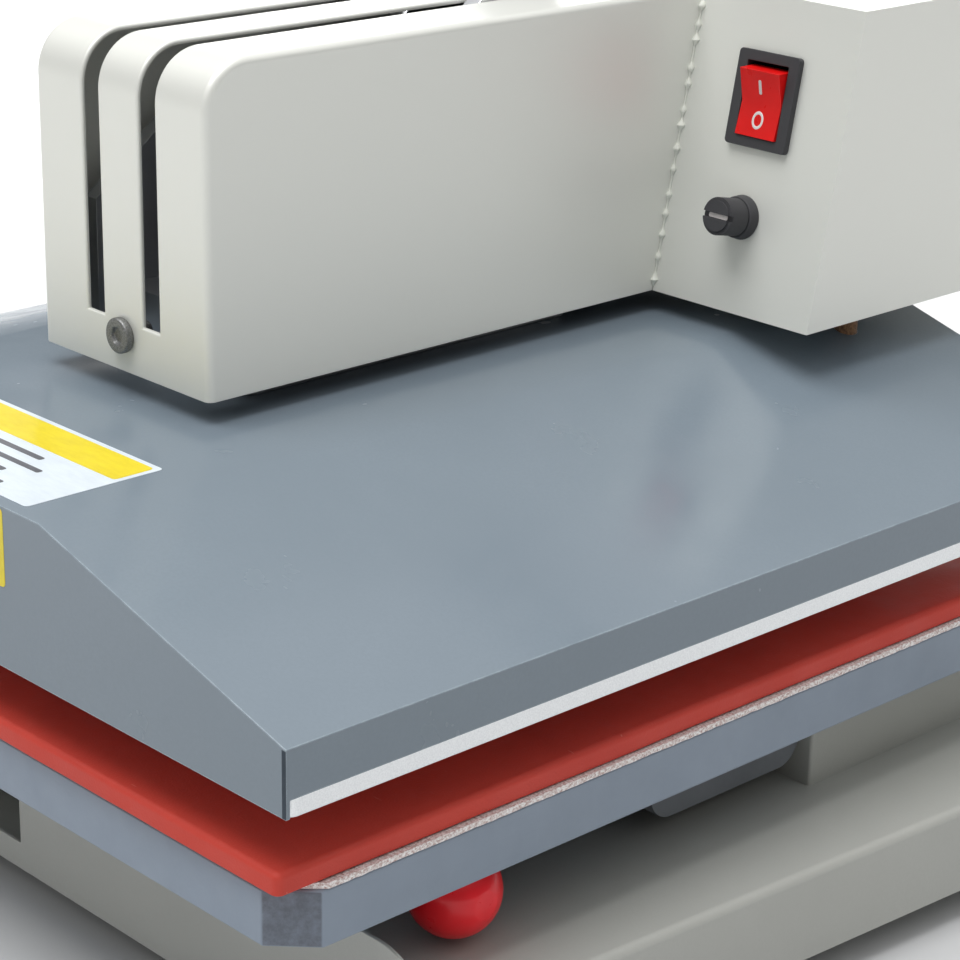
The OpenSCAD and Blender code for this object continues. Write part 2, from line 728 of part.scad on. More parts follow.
module fuse_holder() color(black) on_panel() translate([fuse_x, 0, fuse_v]) rotate([90, 0, 0]) difference() {
    union() {
        cylinder(h = 4, d1 = fuse_d, d2 = fuse_d - 1.5);
        translate([0, 0, -26]) cylinder(h = 26, d = 11.6);
    }
    translate([0, 0, -20]) cylinder(h = 30, d = 8);
    translate([0, 0, 1]) cylinder(h = 4, d = 11);
}

module fuse_cap() color(black) on_panel() translate([fuse_x, 0, fuse_v]) rotate([90, 0, 0]) difference() {
    union() {
        translate([0, 0, 1.2]) cylinder(h = 12.8, d = 10.8);
        translate([0, 0, 4.3]) cylinder(h = 9, d = 13.4);
        translate([0, 0, -18]) cylinder(h = 20, d = 7.4);
    }
    translate([-7, -1, 12.4]) cube([14, 2, 3]);
}

module mains_inlet() color(black) translate([inlet_x, housing_back_y + sheet_t, arm_z + inlet_z]) difference() {
    union() {
        rotate([-90, 0, 0]) linear_extrude(3) round_rect(50, 24, 4);
        block([-13.5, -24, -9.5], [13.5, 0, 9.5]);
    }
    block([-12, -16, -8], [12, 3 + cut, 8]);
}

module lead_grommet() color(black) translate([lead_x, lead_y, arm_z - 2.5]) difference() {
    union() {
        cylinder(h = 2.5, d = lead_d + 10);
        cylinder(h = 2.5 + sheet_t, d = lead_d + 6.6);
        translate([0, 0, 2.5 + sheet_t]) cylinder(h = 2, d = lead_d + 10);
    }
    translate([0, 0, -cut]) cylinder(h = 12, d = lead_d + 2 * gap);
}

module button_place(i) translate([meter_x + 26, meter_y - button_pitch + i * button_pitch, housing_top + meter_h])
    children();

module controller_bezel() color(black) difference() {
    union() {
        translate([meter_x, meter_y, housing_top]) linear_extrude(meter_h) round_rect(meter_w, meter_l, 4);
        translate([meter_x, meter_y, housing_top - 18]) linear_extrude(18)
            round_rect(meter_w - 9, meter_l - 9, 2);
    }
    translate([meter_x - 14, meter_y, housing_top + meter_h - 2]) linear_extrude(3) round_rect(56, 36, 2);
    for (i = [0:1:2]) button_place(i) translate([0, 0, -button_hole_h])
        cylinder(h = button_hole_h + cut, d = button_d + 2 * gap);
}

module controller_window() color([0.05, 0.07, 0.08]) translate([meter_x - 14, meter_y, housing_top + meter_h - 2])
    linear_extrude(1.4) round_rect(55.6, 35.6, 1.8);

module button(i) color(cream) button_place(i) {
    rim = 0.6;
    translate([0, 0, -button_root]) cylinder(h = button_root + button_up_z - rim, d = button_d);
    translate([0, 0, button_up_z - rim]) cylinder(h = rim, d1 = button_d, d2 = button_d - 2 * rim);
}

// ---- Handle --------------------------------------------------------------

// Places children on the handle's shaft, with +Z along the raised handle
module on_handle() translate([0, press_y, shaft_z]) rotate([-handle_lean, 0, 0]) children();

module bar_outline() {
    circle(d = bar_w + 6);
    translate([-bar_w / 2, 0]) square([bar_w, handle_l]);
    translate([0, handle_l]) circle(d = bar_w);
}

module handle_bars() color(bright_steel) on_handle() for (s = [-1, 1]) translate([s * slot_x, 0, 0])
    along_x(bar_t) difference() {
        bar_outline();
        circle(d = shaft_d);
        translate([0, handle_l]) circle(d = 12);
    }

// Grip axle: a tube stepped into the two bars, longer than the space between them
module handle_tube() color(bright_steel) on_handle() translate([0, 0, handle_l]) {
    rod_x(-grip_l / 2 - 6, grip_l / 2 + 6, 12);
    for (s = [-1, 1]) translate([s * (grip_l / 2 + 3), 0, 0]) rod_x(-3, 3, 20);
}

// Two sleeves outside the bars and a spacer between them
module handle_grip() color(black) on_handle() translate([0, 0, handle_l]) difference() {
    union() {
        for (s = [-1, 1]) {
            inner = slot_x + bar_t / 2 + gap;
            rod_x(s > 0 ? inner : -grip_l / 2, s > 0 ? grip_l / 2 : -inner, grip_d);
        }
        rod_x(-slot_x + bar_t / 2 + gap, slot_x - bar_t / 2 - gap, bar_w - 2);
    }
    rod_x(-grip_l, grip_l, 12);
}

module handle_shaft() color(bright_steel) translate([0, press_y, shaft_z]) {
    rod_x(-side_x - side_t - 4, side_x + side_t + 4, shaft_d);
    for (s = [-1, 1]) translate([s * (side_x + side_t + 2.3), 0, 0]) rod_x(-1.7, 1.7, shaft_d + 8);
    for (s = [-1, 1]) translate([s * (slot_x + bar_t / 2 + 5.3), 0, 0]) rod_x(-5.2, 5.2, shaft_d + 6);
}

// Cam outline round the shaft: a roller's centre rises evenly with the handle's angle.
// a is the handle's angle in degrees; the cam's point for it lies at -90 - a.
function cam_reach(a) = cam_pitch_r + cam_rise * a;
function cam_point(a) =
    let (reach = cam_reach(a), turn = -90 - a, slope = cam_rise * 180 / PI,
         n = sqrt(reach * reach + slope * slope), off = roller_d / 2 + cam_gap)
    [reach * cos(turn) - off * (reach * cos(turn) - slope * sin(turn)) / n,
     reach * sin(turn) - off * (reach * sin(turn) + slope * cos(turn)) / n];
cam_start = -cam_lead;
cam_end = handle_range + cam_lead;
cam_lobe = [for (i = [0:1:cam_steps]) cam_point(cam_start + (cam_end - cam_start) * i / cam_steps)];
cam_back_from = -90 - cam_end - 20;
cam_back_to = -90 - cam_start - 360 + 10;
cam_back = [for (i = [0:1:cam_steps]) let (turn = cam_back_from + (cam_back_to - cam_back_from) * i / cam_steps)
    cam_back_r * [cos(turn), sin(turn)]];

module press_cam() color(dull_steel) translate([0, press_y, shaft_z]) along_x(cam_w) difference() {
    polygon(concat(cam_lobe, cam_back));
    circle(d = shaft_d);
}

// ---- Head ----------------------------------------------------------------

// End outline of the hood, inset by t
module hood_outline(t) {
    w = hood_w / 2 - t;
    rise = tan(hood_slope);
    drop = t / cos(hood_slope);
    eave = hood_z + skirt_h + t * rise - drop;
    flat = (hood_w / 2) - (hood_h - t - skirt_h + drop) / rise;
    low = hood_z - (t > 0 ? cut : 0);
    polygon([[-w, low], [w, low], [w, eave], [flat, hood_top - t], [-flat, hood_top - t], [-w, eave]]);
}

module stud_places() for (x = [-1, 1], y = [-1, 1]) translate([x * stud_x, press_y + y * stud_y, 0]) children();

module hood() color(plate_grey) difference() {
    union() {
        along_y(front_y, front_y + hood_l) hood_outline(0);
        for (y = [front_y, front_y + hood_l - sheet_t])
            block([-hood_w / 2, y, hood_z - gable_drop], [hood_w / 2, y + sheet_t, hood_z + cut]);
    }
    along_y(front_y + sheet_t, front_y + hood_l - sheet_t) hood_outline(sheet_t);
    stud_places() translate([0, 0, hood_top - sheet_t - cut]) cylinder(h = sheet_t + 2 * cut, d = 7);
    translate([lead_x, lead_y, hood_z + skirt_h]) cylinder(h = hood_h, d = lead_d);
}

// Centre line of the heating element: a long loop with round ends
module element_loop(d) {
    for (s = [-1, 1]) {
        translate([s * element_span, press_y - element_l / 2 + element_r, 0]) rotate([-90, 0, 0])
            cylinder(h = element_l - 2 * element_r, d = d);
        translate([-element_span + element_r, press_y + s * element_l / 2, 0]) rotate([0, 90, 0])
            cylinder(h = 2 * (element_span - element_r), d = d);
    }
    for (q = [[1, 1, 0], [-1, 1, 90], [-1, -1, 180], [1, -1, 270]])
        translate([q[0] * (element_span - element_r), press_y + q[1] * (element_l / 2 - element_r), 0])
            rotate([0, 0, q[2]]) rotate_extrude(angle = 90) translate([element_r, 0]) circle(d = d);
}

module hot_plate() color([0.80, 0.81, 0.82]) difference() {
    w = hood_w - 2 * sheet_t - 2 * hot_gap;
    l = hood_l - 2 * sheet_t - 2 * hot_gap;
    translate([0, press_y, hot_low]) linear_extrude(hot_t) round_rect(w, l, 4);
    translate([0, 0, hot_top - element_d / 2]) {
        element_loop(element_d);
        translate([0, 0, element_d / 2]) element_loop(element_d);
    }
}

module heating_element() color(dull_steel) translate([0, 0, hot_top - element_d / 2]) element_loop(element_d - 0.1);

// Mineral wool that fills the hood above the hot plate
module insulation() color([0.85, 0.82, 0.72]) difference() {
    high_w = hood_flat_w / 2 + 4;
    low_w = hood_w / 2 - 36;
    along_y(front_y + 14, front_y + hood_l - 14)
        polygon([[-low_w, blanket_low], [low_w, blanket_low], [high_w, blanket_top], [-high_w, blanket_top]]);
    stud_places() cylinder(h = hood_top, d = stud_d + 2);
    translate([lead_x, lead_y, 0]) cylinder(h = hood_top, d = lead_d + 4);
}

// Sleeved lead from the heating element up into the housing, where its slack lies
module heater_lead() color([0.45, 0.30, 0.18]) translate([lead_x, lead_y, hot_top])
    cylinder(h = lead_top - hot_top, d = lead_d);

// Plate on the hood's top, with the studs down to the hot plate and their screw heads
module carrier_plate() color(dull_steel) {
    difference() {
        translate([0, press_y, hood_top]) linear_extrude(carrier_t) round_rect(carrier_w, carrier_l, 6);
        stud_places() cylinder(h = carrier_top + cut, d = clear_d);
    }
    stud_places() {
        translate([0, 0, hot_top]) cylinder(h = hood_top - sheet_t - hot_top, d = stud_d);
        translate([0, 0, hood_top - sheet_t]) cylinder(h = sheet_t + carrier_t, d = clear_d);
        translate([0, 0, carrier_top]) cylinder(h = stud_head_h, d = stud_head_d, $fn = 6);
    }
}

// Round ram with a fork at its top for the roller
module ram() color(bright_steel) translate([0, press_y, 0]) difference() {
    translate([0, 0, carrier_top]) cylinder(h = ram_top - carrier_top, d = ram_d);
    block([-roller_w / 2 - gap, -ram_d, roller_z - roller_d / 2 - 1], [roller_w / 2 + gap, ram_d, ram_top + cut]);
    translate([0, 0, roller_z]) rod_x(-ram_d, ram_d, roller_pin_d);
}

module cam_roller() color(bright_steel) translate([0, press_y, roller_z]) {
    rod_x(-roller_w / 2, roller_w / 2, roller_d);
    rod_x(-ram_d / 2 + 1.6, ram_d / 2 - 1.6, roller_pin_d - 2 * fit);
}

module guide_rods() color(bright_steel) for (s = [-1, 1]) translate([0, press_y + s * rod_y, 0]) {
    translate([0, 0, carrier_top]) cylinder(h = rod_top - carrier_top, d = rod_d);
    translate([0, 0, spring_top]) cylinder(h = rod_nut_h, d = rod_nut_d);
}

module return_springs() color(bright_steel) for (s = [-1, 1]) translate([0, press_y + s * rod_y, guide_top])
    ring(spring_top - guide_top, spring_d, rod_d + 1);

// Scalloped knob on the spindle that sets how hard the hot plate bears down
module pressure_knob() color(black) translate([0, column_y, 0]) {
    translate([0, 0, column_top - 30]) cylinder(h = housing_top + 12 - column_top + 30, d = spindle_d);
    translate([0, 0, column_top + 2]) cylinder(h = block_top - column_top - 2.3, d = spindle_flange_d);
    translate([0, 0, housing_top + 4]) cylinder(h = 10, d = 28);
    translate([0, 0, housing_top + 12]) linear_extrude(18) difference() {
        circle(d = pressure_d);
        for (a = [0:45:315]) rotate([0, 0, a]) translate([pressure_d / 2 + 5, 0]) circle(d = 20);
    }
    translate([0, 0, housing_top + 30]) cylinder(h = 4, d1 = pressure_d - 14, d2 = pressure_d - 22);
}

// ---- Nodes ---------------------------------------------------------------

base_tray();
front_apron();
column_riser();
rubber_feet();
foot_screws();
pedestal();
cross_beam();
lower_plate();
pad_backing();
silicone_pad();
latch_tab();
latch_block();
latch_spring();
latch_pin();
red_pull_knob();
column_flange();
flange_bolts();
column();
stop_collar();
thrust_washer();
bearing_block();
bearing_cap();
stop_pin();
arm_side_plates();
guide_block();
bronze_bushes();
arm_cover();
arm_front_screw();
rear_housing();
housing_floor();
housing_back();
cover_screws();
control_board();
switch_body();
rocker_switch();
fuse_holder();
fuse_cap();
mains_inlet();
lead_grommet();
controller_bezel();
controller_window();
button(0);  // button_set
button(1);  // button_up
button(2);  // button_down
handle_bars();
handle_tube();
handle_grip();
handle_shaft();
press_cam();
hood();
hot_plate();
heating_element();
insulation();
heater_lead();
carrier_plate();
ram();
cam_roller();
guide_rods();
return_springs();
pressure_knob();
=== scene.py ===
import json
import logging
import math
import random
from collections.abc import Callable, Iterator
from contextlib import contextmanager
from dataclasses import dataclass, field
from enum import Enum

import bmesh
import bpy
from mathutils import Matrix, Vector


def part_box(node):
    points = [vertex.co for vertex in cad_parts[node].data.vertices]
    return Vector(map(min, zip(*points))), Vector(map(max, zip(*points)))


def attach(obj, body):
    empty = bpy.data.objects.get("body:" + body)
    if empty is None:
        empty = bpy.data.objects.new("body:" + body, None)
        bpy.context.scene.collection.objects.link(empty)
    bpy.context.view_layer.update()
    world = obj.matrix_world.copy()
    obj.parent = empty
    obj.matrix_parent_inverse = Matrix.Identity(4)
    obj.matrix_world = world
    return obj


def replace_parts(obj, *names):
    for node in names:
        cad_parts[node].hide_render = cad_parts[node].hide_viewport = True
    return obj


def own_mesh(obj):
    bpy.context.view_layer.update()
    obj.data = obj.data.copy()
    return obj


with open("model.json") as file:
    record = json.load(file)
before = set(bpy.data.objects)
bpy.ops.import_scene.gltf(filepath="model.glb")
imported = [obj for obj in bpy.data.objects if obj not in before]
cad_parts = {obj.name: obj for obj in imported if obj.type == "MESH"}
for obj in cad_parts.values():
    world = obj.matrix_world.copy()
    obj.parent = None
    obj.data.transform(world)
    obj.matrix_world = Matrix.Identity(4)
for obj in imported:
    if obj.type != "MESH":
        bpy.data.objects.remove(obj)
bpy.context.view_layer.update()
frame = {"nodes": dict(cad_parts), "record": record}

LOG = logging.getLogger("heat_press")
MM = 0.001
Colour = tuple[float, float, float, float]
Point = tuple[float, float, float]
EdgeTest = Callable[[Vector, Vector, float], bool]

BEND = 45.0  # Degrees of fold above which an edge is a bend in the sheet, not a facet of a curve.
ALONG = 0.9  # Part of a unit direction on an axis, above which it runs along that axis.
ACROSS = 0.1  # The same part, below which it runs across the axis.


class Body(Enum):
    """Bodies of the mechanism that added pieces ride on."""

    BASE = "base"
    ARM = "arm"
    HEAD = "head"
    ROCKER = "rocker"
    FUSE = "fuse"


class Slot(Enum):
    """Material slots of the record that added pieces use."""

    CREAM = "cream_paint"
    ENAMEL = "grey_enamel"
    SILICONE = "red_silicone"
    BACKING = "backing_board"
    RED = "red_plastic"
    BLACK = "black_plastic"
    CREAM_PLASTIC = "cream_plastic"
    BRIGHT = "bright_steel"


class Axis(Enum):
    """Axes that a coil is wound along, as the turn from upright."""

    X = (0.0, math.pi / 2, 0.0)
    Z = (0.0, 0.0, 0.0)


def tone(red: int, green: int, blue: int) -> Colour:
    """Turn a screen colour of 0 to 255 into the linear colour that a shader takes.

    Args:
        red: Red part.
        green: Green part.
        blue: Blue part.

    Returns:
        Linear red, green, blue and an alpha of 1.
    """
    def linear(part: int) -> float:
        """Linear value of one part."""
        share = part / 255
        return share / 12.92 if share <= 0.04045 else ((share + 0.055) / 1.055) ** 2.4

    return linear(red), linear(green), linear(blue), 1.0


# ---- Finishes ------------------------------------------------------------


class Desk:
    """Lays out and joins the shader nodes of one material."""

    def __init__(self, name: str) -> None:
        """Start a material with its surface shader and its object coordinates.

        Args:
            name: Name of the material.
        """
        self.material = bpy.data.materials.new(name)
        self.material.use_nodes = True
        self.tree = self.material.node_tree
        self.surface = self.tree.nodes["Principled BSDF"]
        self.place = self.tree.nodes.new("ShaderNodeTexCoord").outputs["Object"]

    def wire(self, source: bpy.types.NodeSocket, target: bpy.types.NodeSocket) -> None:
        """Join one socket to another."""
        self.tree.links.new(source, target)

    def stretch(self, scale: Point, turn: Point = (0.0, 0.0, 0.0)) -> bpy.types.NodeSocket:
        """Scale and turn the object coordinates.

        Args:
            scale: Scale along each axis.
            turn: Turn about each axis in radians.

        Returns:
            The changed coordinates.
        """
        node = self.tree.nodes.new("ShaderNodeMapping")
        node.inputs["Scale"].default_value = scale
        node.inputs["Rotation"].default_value = turn
        self.wire(self.place, node.inputs["Vector"])
        return node.outputs["Vector"]

    def noise(self, size_mm: float, detail: float = 2.0, rough: float = 0.5,
              place: bpy.types.NodeSocket | None = None) -> bpy.types.NodeSocket:
        """Cloudy noise whose lumps are about size_mm across.

        Args:
            size_mm: Size of a lump.
            detail: Number of finer layers.
            rough: Strength of the finer layers.
            place: Coordinates, or none for the object's own.

        Returns:
            The noise value.
        """
        node = self.tree.nodes.new("ShaderNodeTexNoise")
        node.inputs["Scale"].default_value = 1000 / size_mm
        node.inputs["Detail"].default_value = detail
        node.inputs["Roughness"].default_value = rough
        self.wire(place or self.place, node.inputs["Vector"])
        return node.outputs["Fac"]

    def cells(self, size_mm: float, spread: float = 1.0,
              place: bpy.types.NodeSocket | None = None) -> bpy.types.NodeSocket:
        """Distance to the nearest of scattered points, about size_mm apart.

        Args:
            size_mm: Spacing of the points.
            spread: How unevenly the points lie, 0 to 1.
            place: Coordinates, or none for the object's own.

        Returns:
            The distance value.
        """
        node = self.tree.nodes.new("ShaderNodeTexVoronoi")
        node.inputs["Scale"].default_value = 1000 / size_mm
        node.inputs["Randomness"].default_value = spread
        self.wire(place or self.place, node.inputs["Vector"])
        return node.outputs["Distance"]

    def ramp(self, value: bpy.types.NodeSocket, *stops: tuple[float, Colour]) -> bpy.types.NodeSocket:
        """Turn a value into a colour.

        Args:
            value: The value.
            stops: Places from 0 to 1 and their colours.

        Returns:
            The colour.
        """
        node = self.tree.nodes.new("ShaderNodeValToRGB")
        elements = node.color_ramp.elements
        while len(elements) < len(stops):
            elements.new(0.5)
        for element, (position, colour) in zip(elements, stops):
            element.position = position
            element.color = colour
        self.wire(value, node.inputs["Fac"])
        return node.outputs["Color"]

    def span(self, value: bpy.types.NodeSocket, low: float, high: float,
             out_low: float, out_high: float) -> bpy.types.NodeSocket:
        """Map a value from one range to another.

        Args:
            value: The value.
            low: Start of the range read.
            high: End of the range read.
            out_low: Result at low.
            out_high: Result at high.

        Returns:
            The mapped value.
        """
        node = self.tree.nodes.new("ShaderNodeMapRange")
        for name, number in (("From Min", low), ("From Max", high), ("To Min", out_low), ("To Max", out_high)):
            node.inputs[name].default_value = number
        self.wire(value, node.inputs["Value"])
        return node.outputs["Result"]

    def sum(self, kind: str, first: bpy.types.NodeSocket,
            second: bpy.types.NodeSocket | float) -> bpy.types.NodeSocket:
        """Work out one sum of two values.

        Args:
            kind: Name of the operation.
            first: First value.
            second: Second value or number.

        Returns:
            The result.
        """
        node = self.tree.nodes.new("ShaderNodeMath")
        node.operation = kind
        self.wire(first, node.inputs[0])
        if isinstance(second, (int, float)):
            node.inputs[1].default_value = second
        else:
            self.wire(second, node.inputs[1])
        return node.outputs[0]

    def blend(self, share: bpy.types.NodeSocket, first: bpy.types.NodeSocket | Colour,
              second: bpy.types.NodeSocket | Colour) -> bpy.types.NodeSocket:
        """Mix two colours.

        Args:
            share: Share of the second colour.
            first: First colour.
            second: Second colour.

        Returns:
            The mixed colour.
        """
        node = self.tree.nodes.new("ShaderNodeMix")
        node.data_type = "RGBA"
        self.wire(share, node.inputs["Factor"])
        for socket, colour in ((node.inputs[6], first), (node.inputs[7], second)):
            if isinstance(colour, tuple):
                socket.default_value = colour
            else:
                self.wire(colour, socket)
        return node.outputs[2]

    def relief(self, *layers: tuple[bpy.types.NodeSocket, float]) -> None:
        """Raise the surface by several layers.

        Args:
            layers: Height values from 0 to 1 and each layer's depth in millimetres.
        """
        previous = None
        for height, depth in layers:
            node = self.tree.nodes.new("ShaderNodeBump")
            node.inputs["Strength"].default_value = 1.0
            node.inputs["Distance"].default_value = depth * MM
            self.wire(height, node.inputs["Height"])
            if previous is not None:
                self.wire(previous, node.inputs["Normal"])
            previous = node.outputs["Normal"]
        self.wire(previous, self.surface.inputs["Normal"])

    def edges(self, radius_mm: float) -> bpy.types.NodeSocket:
        """Find the edges of the shape, for wear and for the painted edge highlight of the paints.

        Args:
            radius_mm: Width of the worn edge.

        Returns:
            0 on open faces and up to 1 on edges.
        """
        nodes = self.tree.nodes
        bevel = nodes.new("ShaderNodeBevel")
        bevel.samples = 4
        bevel.inputs["Radius"].default_value = radius_mm * MM
        dot = nodes.new("ShaderNodeVectorMath")
        dot.operation = "DOT_PRODUCT"
        self.wire(bevel.outputs["Normal"], dot.inputs[0])
        self.wire(nodes.new("ShaderNodeNewGeometry").outputs["Normal"], dot.inputs[1])
        return self.span(dot.outputs["Value"], 0.99, 0.8, 0.0, 1.0)

    def base(self, colour: bpy.types.NodeSocket) -> None:
        """Give the surface its colour."""
        self.wire(colour, self.surface.inputs["Base Color"])

    def gloss(self, value: bpy.types.NodeSocket) -> None:
        """Give the surface its roughness."""
        self.wire(value, self.surface.inputs["Roughness"])

    def fixed(self, **values: float) -> None:
        """Set plain numbers on the surface, with _ for each space in a socket's name."""
        for name, number in values.items():
            self.surface.inputs[name.replace("_", " ")].default_value = number


@dataclass(frozen=True)
class Finish:
    """A surface finish. Each kind lays out its own nodes."""

    name: str

    def build(self) -> bpy.types.Material:
        """Make the material once and hand it out afterwards.

        Returns:
            The finish's material.
        """
        found = bpy.data.materials.get(self.name)
        if found is not None:
            return found
        desk = Desk(self.name)
        self.lay(desk)
        return desk.material

    def lay(self, desk: Desk) -> None:
        """Lay out the finish's nodes."""
        raise NotImplementedError


@dataclass(frozen=True)
class Paint(Finish):
    """Baked paint on sheet metal, with orange peel, faint mottling, fine grain and lighter edges, which are partly
    rubbed wear and partly a painted highlight along the folds.
    """

    colour: Colour = (0.6, 0.6, 0.5, 1.0)
    shade: Colour = (0.55, 0.55, 0.45, 1.0)
    edge: Colour = (0.7, 0.7, 0.65, 1.0)
    rough: float = 0.42
    peel_mm: float = 1.6
    peel_depth: float = 0.02
    wear_and_edge_highlight: float = 0.4
    wave_depth: float = 0.0

    def lay(self, desk: Desk) -> None:
        """Lay out the paint's nodes."""
        cloud = desk.noise(85, 3, 0.6)
        grain = desk.noise(1.1, 1)
        flat = desk.ramp(cloud, (0.3, self.colour), (0.75, self.shade))
        grained = desk.blend(desk.span(grain, 0.3, 0.7, 0.0, 0.5), flat, self.shade)
        # Edges lighter by the edge colour: rubbed wear, and a painted highlight along the folds.
        lighter_edges = desk.sum("MULTIPLY", desk.edges(0.8),
                          desk.span(desk.noise(9, 4, 0.7), 0.4, 0.6, 0.3 * self.wear_and_edge_highlight, self.wear_and_edge_highlight))
        desk.base(desk.blend(lighter_edges, grained, self.edge))
        desk.gloss(desk.span(desk.noise(30, 4, 0.65), 0.3, 0.7, self.rough - 0.05, self.rough + 0.07))
        layers = [(desk.noise(self.peel_mm, 2), self.peel_depth)]
        if self.wave_depth:
            layers.append((desk.noise(60, 1), self.wave_depth))
        desk.relief(*layers)


@dataclass(frozen=True)
class Plate(Finish):
    """Sprayed and baked coat on a thick plate: satin, scratched, chipped at its edges, with painted shade on its
    corner faces if a corner colour is given.
    """

    colour: Colour = (0.2, 0.2, 0.2, 1.0)
    shade: Colour = (0.1, 0.1, 0.1, 1.0)
    bare: Colour = (0.4, 0.4, 0.4, 1.0)
    rough: float = 0.4
    # Colour of the painted shade on the faces across the corners, or none.
    corner: Colour | None = None

    def lay(self, desk: Desk) -> None:
        """Lay out the plate's nodes."""
        cloud = desk.ramp(desk.noise(40, 4, 0.6), (0.3, self.colour), (0.7, self.shade))
        hair = desk.noise(9, 2, 0.5, desk.stretch((1.0, 0.12, 3.0), (0.5, 0.2, 0.1)))
        scratched = desk.blend(desk.span(hair, 0.66, 0.7, 0.0, 0.35), cloud, self.shade)
        dots = desk.span(desk.cells(34), 0.02, 0.035, 0.8, 0.0)
        coat = desk.blend(dots, scratched, tone(70, 74, 80))
        # Painted shade: the faces across the corners are darkened by the way they face.
        if self.corner:
            coat = desk.blend(self.corner_shade_mask(desk), coat, self.corner)
        chips = desk.sum("MULTIPLY", desk.edges(0.9), desk.span(desk.noise(5, 4, 0.75), 0.5, 0.62, 0.12, 0.7))
        desk.base(desk.blend(chips, coat, self.bare))
        desk.gloss(desk.span(desk.noise(14, 5, 0.7), 0.3, 0.7, self.rough - 0.08, self.rough + 0.12))
        desk.relief((desk.noise(1.2, 3), 0.03), (desk.noise(24, 2), 0.25))

    def corner_shade_mask(self, desk: Desk) -> bpy.types.NodeSocket:
        """Find the upright faces that stand across the plate's corners, for the painted shade on them.

        Args:
            desk: The material's desk.

        Returns:
            About 1, unevenly, on upright faces that stand across a corner, and 0 elsewhere.
        """
        apart = desk.tree.nodes.new("ShaderNodeSeparateXYZ")
        desk.wire(desk.tree.nodes.new("ShaderNodeNewGeometry").outputs["Normal"], apart.inputs["Vector"])
        across = desk.sum("MULTIPLY", desk.sum("ABSOLUTE", apart.outputs["X"], 0.0),
                          desk.sum("ABSOLUTE", apart.outputs["Y"], 0.0))
        return desk.sum("MULTIPLY", desk.span(across, 0.3, 0.45, 0.0, 1.0),
                        desk.span(desk.noise(4, 4, 0.7), 0.3, 0.6, 0.55, 1.0))


@dataclass(frozen=True)
class Metal(Finish):
    """Bare metal with grinding or drawing lines along one axis and a little tarnish."""

    colour: Colour = (0.6, 0.6, 0.6, 1.0)
    tarnish: Colour = (0.3, 0.3, 0.3, 1.0)
    rough: float = 0.3
    lines: Point = (0.03, 1.0, 1.0)
    line_depth: float = 0.02
    tarnish_from: float = 0.55

    def lay(self, desk: Desk) -> None:
        """Lay out the metal's nodes."""
        line = desk.noise(0.5, 3, 0.6, desk.stretch(self.lines))
        patch = desk.span(desk.noise(16, 5, 0.7), self.tarnish_from, 0.8, 0.0, 0.8)
        desk.base(desk.blend(patch, desk.ramp(line, (0.25, self.colour), (0.8, self.tarnish)), self.tarnish))
        desk.gloss(desk.span(line, 0.3, 0.7, self.rough - 0.06, self.rough + 0.12))
        desk.fixed(Metallic=1.0)
        desk.relief((line, self.line_depth), (desk.noise(7, 3), 0.03))


@dataclass(frozen=True)
class Sponge(Finish):
    """Silicone sponge: skinned, finely pored, a little uneven in colour, with lint on its skin."""

    colour: Colour = (0.5, 0.05, 0.03, 1.0)
    shade: Colour = (0.3, 0.03, 0.02, 1.0)
    lint: Colour = (0.7, 0.5, 0.45, 1.0)

    def lay(self, desk: Desk) -> None:
        """Lay out the sponge's nodes."""
        cloud = desk.ramp(desk.noise(55, 4, 0.6), (0.3, self.colour), (0.72, self.shade))
        pores = desk.cells(0.75)
        pored = desk.blend(desk.span(pores, 0.05, 0.22, 0.6, 0.0), cloud, self.shade)
        fluff = desk.noise(2.4, 2, 0.5, desk.stretch((0.2, 1.2, 1.0), (0.0, 0.2, 0.9)))
        desk.base(desk.blend(desk.span(fluff, 0.75, 0.79, 0.0, 0.3), pored, self.lint))
        desk.gloss(desk.span(desk.noise(20, 3), 0.3, 0.7, 0.5, 0.66))
        desk.fixed(Specular_IOR_Level=0.35, Subsurface_Weight=0.05, Subsurface_Scale=0.002)
        desk.relief((pores, 0.06), (desk.noise(3.5, 3), 0.1), (desk.noise(30, 2), 0.3))


@dataclass(frozen=True)
class Moulded(Finish):
    """Moulded plastic or rubber with a fine skin texture, scuffs and its own gloss."""

    colour: Colour = (0.02, 0.02, 0.02, 1.0)
    shade: Colour = (0.01, 0.01, 0.01, 1.0)
    rough: float = 0.35
    grain_mm: float = 0.4
    grain_depth: float = 0.02
    coat: float = 0.0
    wave_depth: float = 0.04
    shine: float = 0.3

    def lay(self, desk: Desk) -> None:
        """Lay out the plastic's nodes."""
        cloud = desk.ramp(desk.noise(12, 3), (0.3, self.colour), (0.75, self.shade))
        pale = tuple(min(1.0, part * 1.35 + 0.03) for part in self.colour[:3]) + (1.0,)
        lighter_edges = desk.sum("MULTIPLY", desk.edges(0.35), desk.span(desk.noise(3, 3), 0.4, 0.65, 0.1, 0.6))
        desk.base(desk.blend(lighter_edges, cloud, pale))
        desk.gloss(desk.span(desk.noise(5, 4, 0.7), 0.3, 0.7, self.rough - 0.05, self.rough + 0.1))
        desk.fixed(Coat_Weight=self.coat, Coat_Roughness=0.08, Specular_IOR_Level=self.shine)
        desk.relief((desk.noise(self.grain_mm, 2), self.grain_depth), (desk.noise(15, 1), self.wave_depth))


